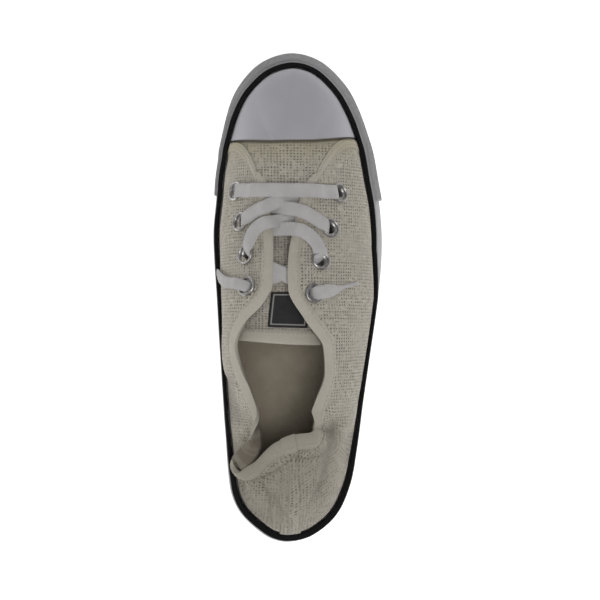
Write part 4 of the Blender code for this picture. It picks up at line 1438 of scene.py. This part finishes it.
def ribbon(path, widths):
    """A flat braid with round edges along points that carry its direction."""
    spots = [Vector(item[:3]) for item in path]
    runs = run_lengths(spots)

    def point(k, side):
        ahead, behind = spots[min(k + 1, len(spots) - 1)], spots[max(k - 1, 0)]
        way = (ahead - behind).normalized()
        up = Vector(path[k][3:6])
        up = (up - way * up.dot(way)).normalized()
        beside = up.cross(way)
        turn = 2 * math.pi * side / LACE_SIDES
        across = math.copysign(abs(math.cos(turn)) ** 0.7, math.cos(turn))
        over = math.copysign(abs(math.sin(turn)) ** 0.8, math.sin(turn))
        return spots[k] + beside * across * widths[k] / 2 + up * over * LACE / 2

    def flat(k, side, _):
        share = abs(((side / LACE_SIDES * 2) % 2) - 1)
        return (runs[k], share)

    mesh = sheet(range(len(path)), range(LACE_SIDES + 1), point, flat)
    bmesh.ops.holes_fill(mesh, edges=[e for e in mesh.edges if e.is_boundary], sides=0)
    bmesh.ops.recalc_face_normals(mesh, faces=mesh.faces)
    return mesh


def narrowing(count, first, final):
    """Widths along a lace that is gathered at one or both of its ends."""
    widths = []
    for k in range(count):
        share = k / (count - 1)
        start = first + (LACE_WIDTH - first) * smooth(share, 0.0, GATHER_REACH)
        stop = final + (LACE_WIDTH - final) * smooth(1 - share, 0.0, GATHER_REACH)
        widths.append(min(start, stop))
    return widths


def strand_path(rows, seats, upper, tongue):
    """The points of one laced strand, taken down the eyelets at its open ends."""
    known = pulled_taut(rows, upper, tongue)
    seat_at = {
        (round(side, 3), round(along, 4)): seat
        for (side, along), seat in zip(LATERAL_EYELETS + MEDIAL_EYELETS, seats)
    }
    first, final = rows[0][1:3], rows[-1][1:3]
    gathered = [LACE_WIDTH, LACE_WIDTH]
    if first in seat_at:
        known = dive(seat_at[first], Vector(known[1][:3]))[::-1] + known[1:]
        gathered[0] = GATHERED
    if final in seat_at:
        known = known[:-1] + dive(seat_at[final], Vector(known[-2][:3]))
        gathered[1] = GATHERED
    return through(known, STRAND_STEPS), gathered


def make_lacing(finish, seats, upper, tongue):
    for name, strands in LACING.items():
        whole = bmesh.new()
        for rows in strands:
            path, gathered = strand_path(rows, seats, upper, tongue)
            mesh = ribbon(path, narrowing(len(path), *gathered))
            data = bpy.data.meshes.new("strand")
            mesh.to_mesh(data)
            mesh.free()
            whole.from_mesh(data)
            bpy.data.meshes.remove(data)
        place(f"flat_{name}", whole, (finish,), [name], sharp=60)


def lace_end_points(rows):
    """The free end's middle, as the part has it, with the wall's direction."""
    away = WALL + QUARTER + 2 * CLEARANCE + LACE_END_RADIUS
    found = []
    for u, v, off in rows:
        normal = wall_normal(u, v)
        found.append((*(last(u, v) + normal * (away + off * INSTEP_HEIGHT)), *normal))
    return found


def make_lace_end(name, rows, finish, seat):
    """A free end, out of the top eyelet and flat on the quarter to its tip."""
    known = lace_end_points(rows)
    known = dive(seat, Vector(known[2][:3]))[::-1] + known[2:]
    path = through(known, STRAND_STEPS)
    full, tip, narrows = LACE_END_SHAPE[name]
    widths = []
    for k in range(len(path)):
        share = k / (len(path) - 1)
        width = full - (full - tip) * smooth(share, *narrows)
        widths.append(LACE_WIDTH * min(width, END_WIDTH + END_OPENING * share))
    mesh = ribbon(path, widths)
    lace = place(f"flat_lace_end_{name}", mesh, (finish,), [f"lace_end_{name}"], sharp=60)
    spots = [Vector(item[:3]) for item in path]
    run_lengths(spots)[-1]


def stitch_row(mesh, points):
    """Stitches along a line of places with their directions."""
    gone = STITCH / 2
    for before, after in zip(points, points[1:]):
        start, stop = Vector(before[:3]), Vector(after[:3])
        run = (stop - start).length
        if run < 1e-7:
            continue
        while gone < run:
            way = (stop - start).normalized()
            up = Vector(before[3:6])
            up = (up - way * up.dot(way)).normalized()
            beside = up.cross(way)
            turned = Matrix((way, beside, up)).transposed().to_4x4()
            turned.translation = start + way * gone + up * THREAD * THREAD_RISE
            sizes = Matrix.Diagonal((STITCH * STITCH_HALF, THREAD / 2, THREAD / 2, 1.0))
            bmesh.ops.create_icosphere(mesh, subdivisions=2, radius=1.0, matrix=turned @ sizes)
            gone += STITCH
        gone -= run


def on_canvas(u, v, outside):
    """A point on the outside of the canvas above a place on the ring."""
    point, normal = last(u, v), wall_normal(u, v)
    hit, found, _, _ = outside.ray_cast(point + normal * STAND_OFF, -normal)
    if hit is None:
        return (*(point + normal * (WALL + QUARTER)), *normal)
    return (*hit, *found)


def share_below_rim(u, distance):
    """The share up the wall at a distance below the rim."""
    heights = climb(u)
    target = heights[1.0] - distance
    for low, high in zip(ROWS_UP, ROWS_UP[1:]):
        if heights[high] >= target:
            return low + (high - low) * (target - heights[low]) / (heights[high] - heights[low])
    return 1.0


def make_stitching(finish, outside, tongue):
    """All the seams' stitches: collar and throat, quarter fronts, strip, tongue."""
    mesh = bmesh.new()
    count = len(STATIONS)
    rim_line = []
    steps = (HEM_STATIONS[0] + count - HEM_STATIONS[1]) * RING_STEPS
    for k in range(steps + 1):
        u = (HEM_STATIONS[1] + k / RING_STEPS) % count
        rim_line.append(on_canvas(u, share_below_rim(u, RIM_WIDTH - STITCH_GAP), outside))
    stitch_row(mesh, rim_line[2:-2])
    seams = []
    for hem, side in zip(HEM_STATIONS, (-1, 1)):
        seams.append((hem, side, STITCH_GAP, HEM_SEAM_TOP))
        seams.append((hem, side, HEM_WIDTH - STITCH_GAP, HEM_SEAM_TOP))
    for strip, side in zip(STAY_STATIONS, (-1, 1)):
        seams.append((strip, side, STITCH_GAP, STAY_SEAM_TOP))
    for start, side, distance, top in seams:
        line = []
        for k in range(SEAM_FOOT, top):
            v = k / SEAM_STEPS
            beside = last(start + side * SEAM_SIDE_STEP, v) - last(start, v)
            step = beside.length / SEAM_SIDE_STEP
            line.append(on_canvas(start + side * distance / step, v, outside))
        stitch_row(mesh, line)
    seam = TONGUE_ROWS[-1][0] + TONGUE_SEAM / LENGTH
    line = []
    for k in range(-20, 21):
        spot = tongue_point(k / TONGUE_SIDE_STEPS, seam)
        hit, normal, _, _ = top_of(tongue, spot.x, spot.y)
        line.append((*hit, *normal))
    stitch_row(mesh, line)
    return place("stitching", mesh, (finish,), sharp=180)


def dress_node(name, finish):
    """A solid whose shape is right keeps it and takes a better material."""
    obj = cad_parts[name]
    obj.data.materials.clear()
    obj.data.materials.append(finish)


def floor_finish():
    made = Finish("pale_floor", 0.9)
    made.put(made.shader.inputs["Emission Color"], (1.0, 1.0, 1.0))
    made.shader.inputs["Emission Strength"].default_value = 0.92
    return made.finish((0.70, 0.70, 0.70))


def make_stage():
    mesh = bmesh.new()
    bmesh.ops.create_grid(mesh, x_segments=1, y_segments=1, size=FLOOR_HALF)
    data = bpy.data.meshes.new("floor")
    mesh.to_mesh(data)
    mesh.free()
    data.materials.append(floor_finish())
    floor = bpy.data.objects.new("floor", data)
    bpy.context.scene.collection.objects.link(floor)


def area_light(name, spot, size, power):
    data = bpy.data.lights.new(name, "AREA")
    data.shape = "DISK"
    data.size = size
    data.energy = power
    light = bpy.data.objects.new(name, data)
    light.location = spot
    light.rotation_mode = "QUATERNION"
    light.rotation_quaternion = Vector(spot).to_track_quat("Z", "Y")
    bpy.context.scene.collection.objects.link(light)


def make_lights():
    world = bpy.data.worlds.new("studio")
    world.use_nodes = True
    world.node_tree.nodes["Background"].inputs[0].default_value = (1.0, 1.0, 1.0, 1.0)
    world.node_tree.nodes["Background"].inputs[1].default_value = 0.15
    bpy.context.scene.world = world
    area_light("overhead", (0.10, -0.20, 1.3), 0.7, 6.5)
    area_light("toe_side", (0.25, 0.9, 0.8), 0.6, 0.7)
    area_light("heel_side", (-0.7, -0.7, 0.9), 0.8, 1.8)


def make_camera():
    data = bpy.data.cameras.new("camera")
    data.sensor_fit = "HORIZONTAL"
    data.angle = 2 * math.atan(FRAME_WIDTH / 2 / CAMERA_PLACE[2])
    camera = bpy.data.objects.new("camera", data)
    back = (Vector(CAMERA_PLACE) - Vector(CAMERA_TARGET)).normalized()
    right = Vector((0, 1, 0)).cross(back).normalized()
    turned = Matrix((right, back.cross(right), back)).transposed().to_4x4()
    turned.translation = Vector(CAMERA_PLACE)
    camera.matrix_world = turned
    bpy.context.scene.collection.objects.link(camera)
    bpy.context.scene.camera = camera


def main():
    make_camera()
    canvas = canvas_finish("canvas_weave", CANVAS_TINT)
    lining = lining_finish()
    cap = rubber_finish("cap_rubber_smooth", CAP_TINT, 0.06, 0.5)
    wall = rubber_finish("wall_rubber", WALL_TINT, 0.30, 0.55, 0.00008)
    black = rubber_finish("black_rubber_strip", BLACK_TINT, 0.01, 0.75)
    black.node_tree.nodes["Principled BSDF"].inputs["Specular IOR Level"].default_value = 0.2
    tan = rubber_finish("sole_rubber", TAN_TINT, 0.3, 0.75, 0.0001)
    lace = lace_finish()
    metal = metal_finish()
    upper = make_upper(canvas, lining)
    tongue = make_tongue(canvas, lining)
    outside = surface_of(upper)
    over_tongue = surface_of(tongue)
    seats = eyelet_seats(outside)
    seat_of = {seat[0]: seat for seat in seats}
    for name, rows in LACE_ENDS.items():
        make_lace_end(name, rows, lace, seat_of[f"{name}_4"])
    make_lacing(lace, seats, outside, over_tongue)
    make_stitching(thread_finish(), outside, over_tongue)
    open_eyelet_holes(upper, seats)
    for seat in seats:
        make_eyelet(*seat, metal)
    make_toe_cap(cap)
    make_sidewall(wall)
    make_stripe(black)
    make_bumper(rubber_finish("bumper_rubber", BUMPER_TINT, 0.9, 0.6, 0.0004))
    make_label(label_finish())
    dress_node("insole", footbed_finish())
    dress_node("outsole", tan)
    make_stage()
    make_lights()
    bpy.context.scene.view_settings.view_transform = "Standard"


main()
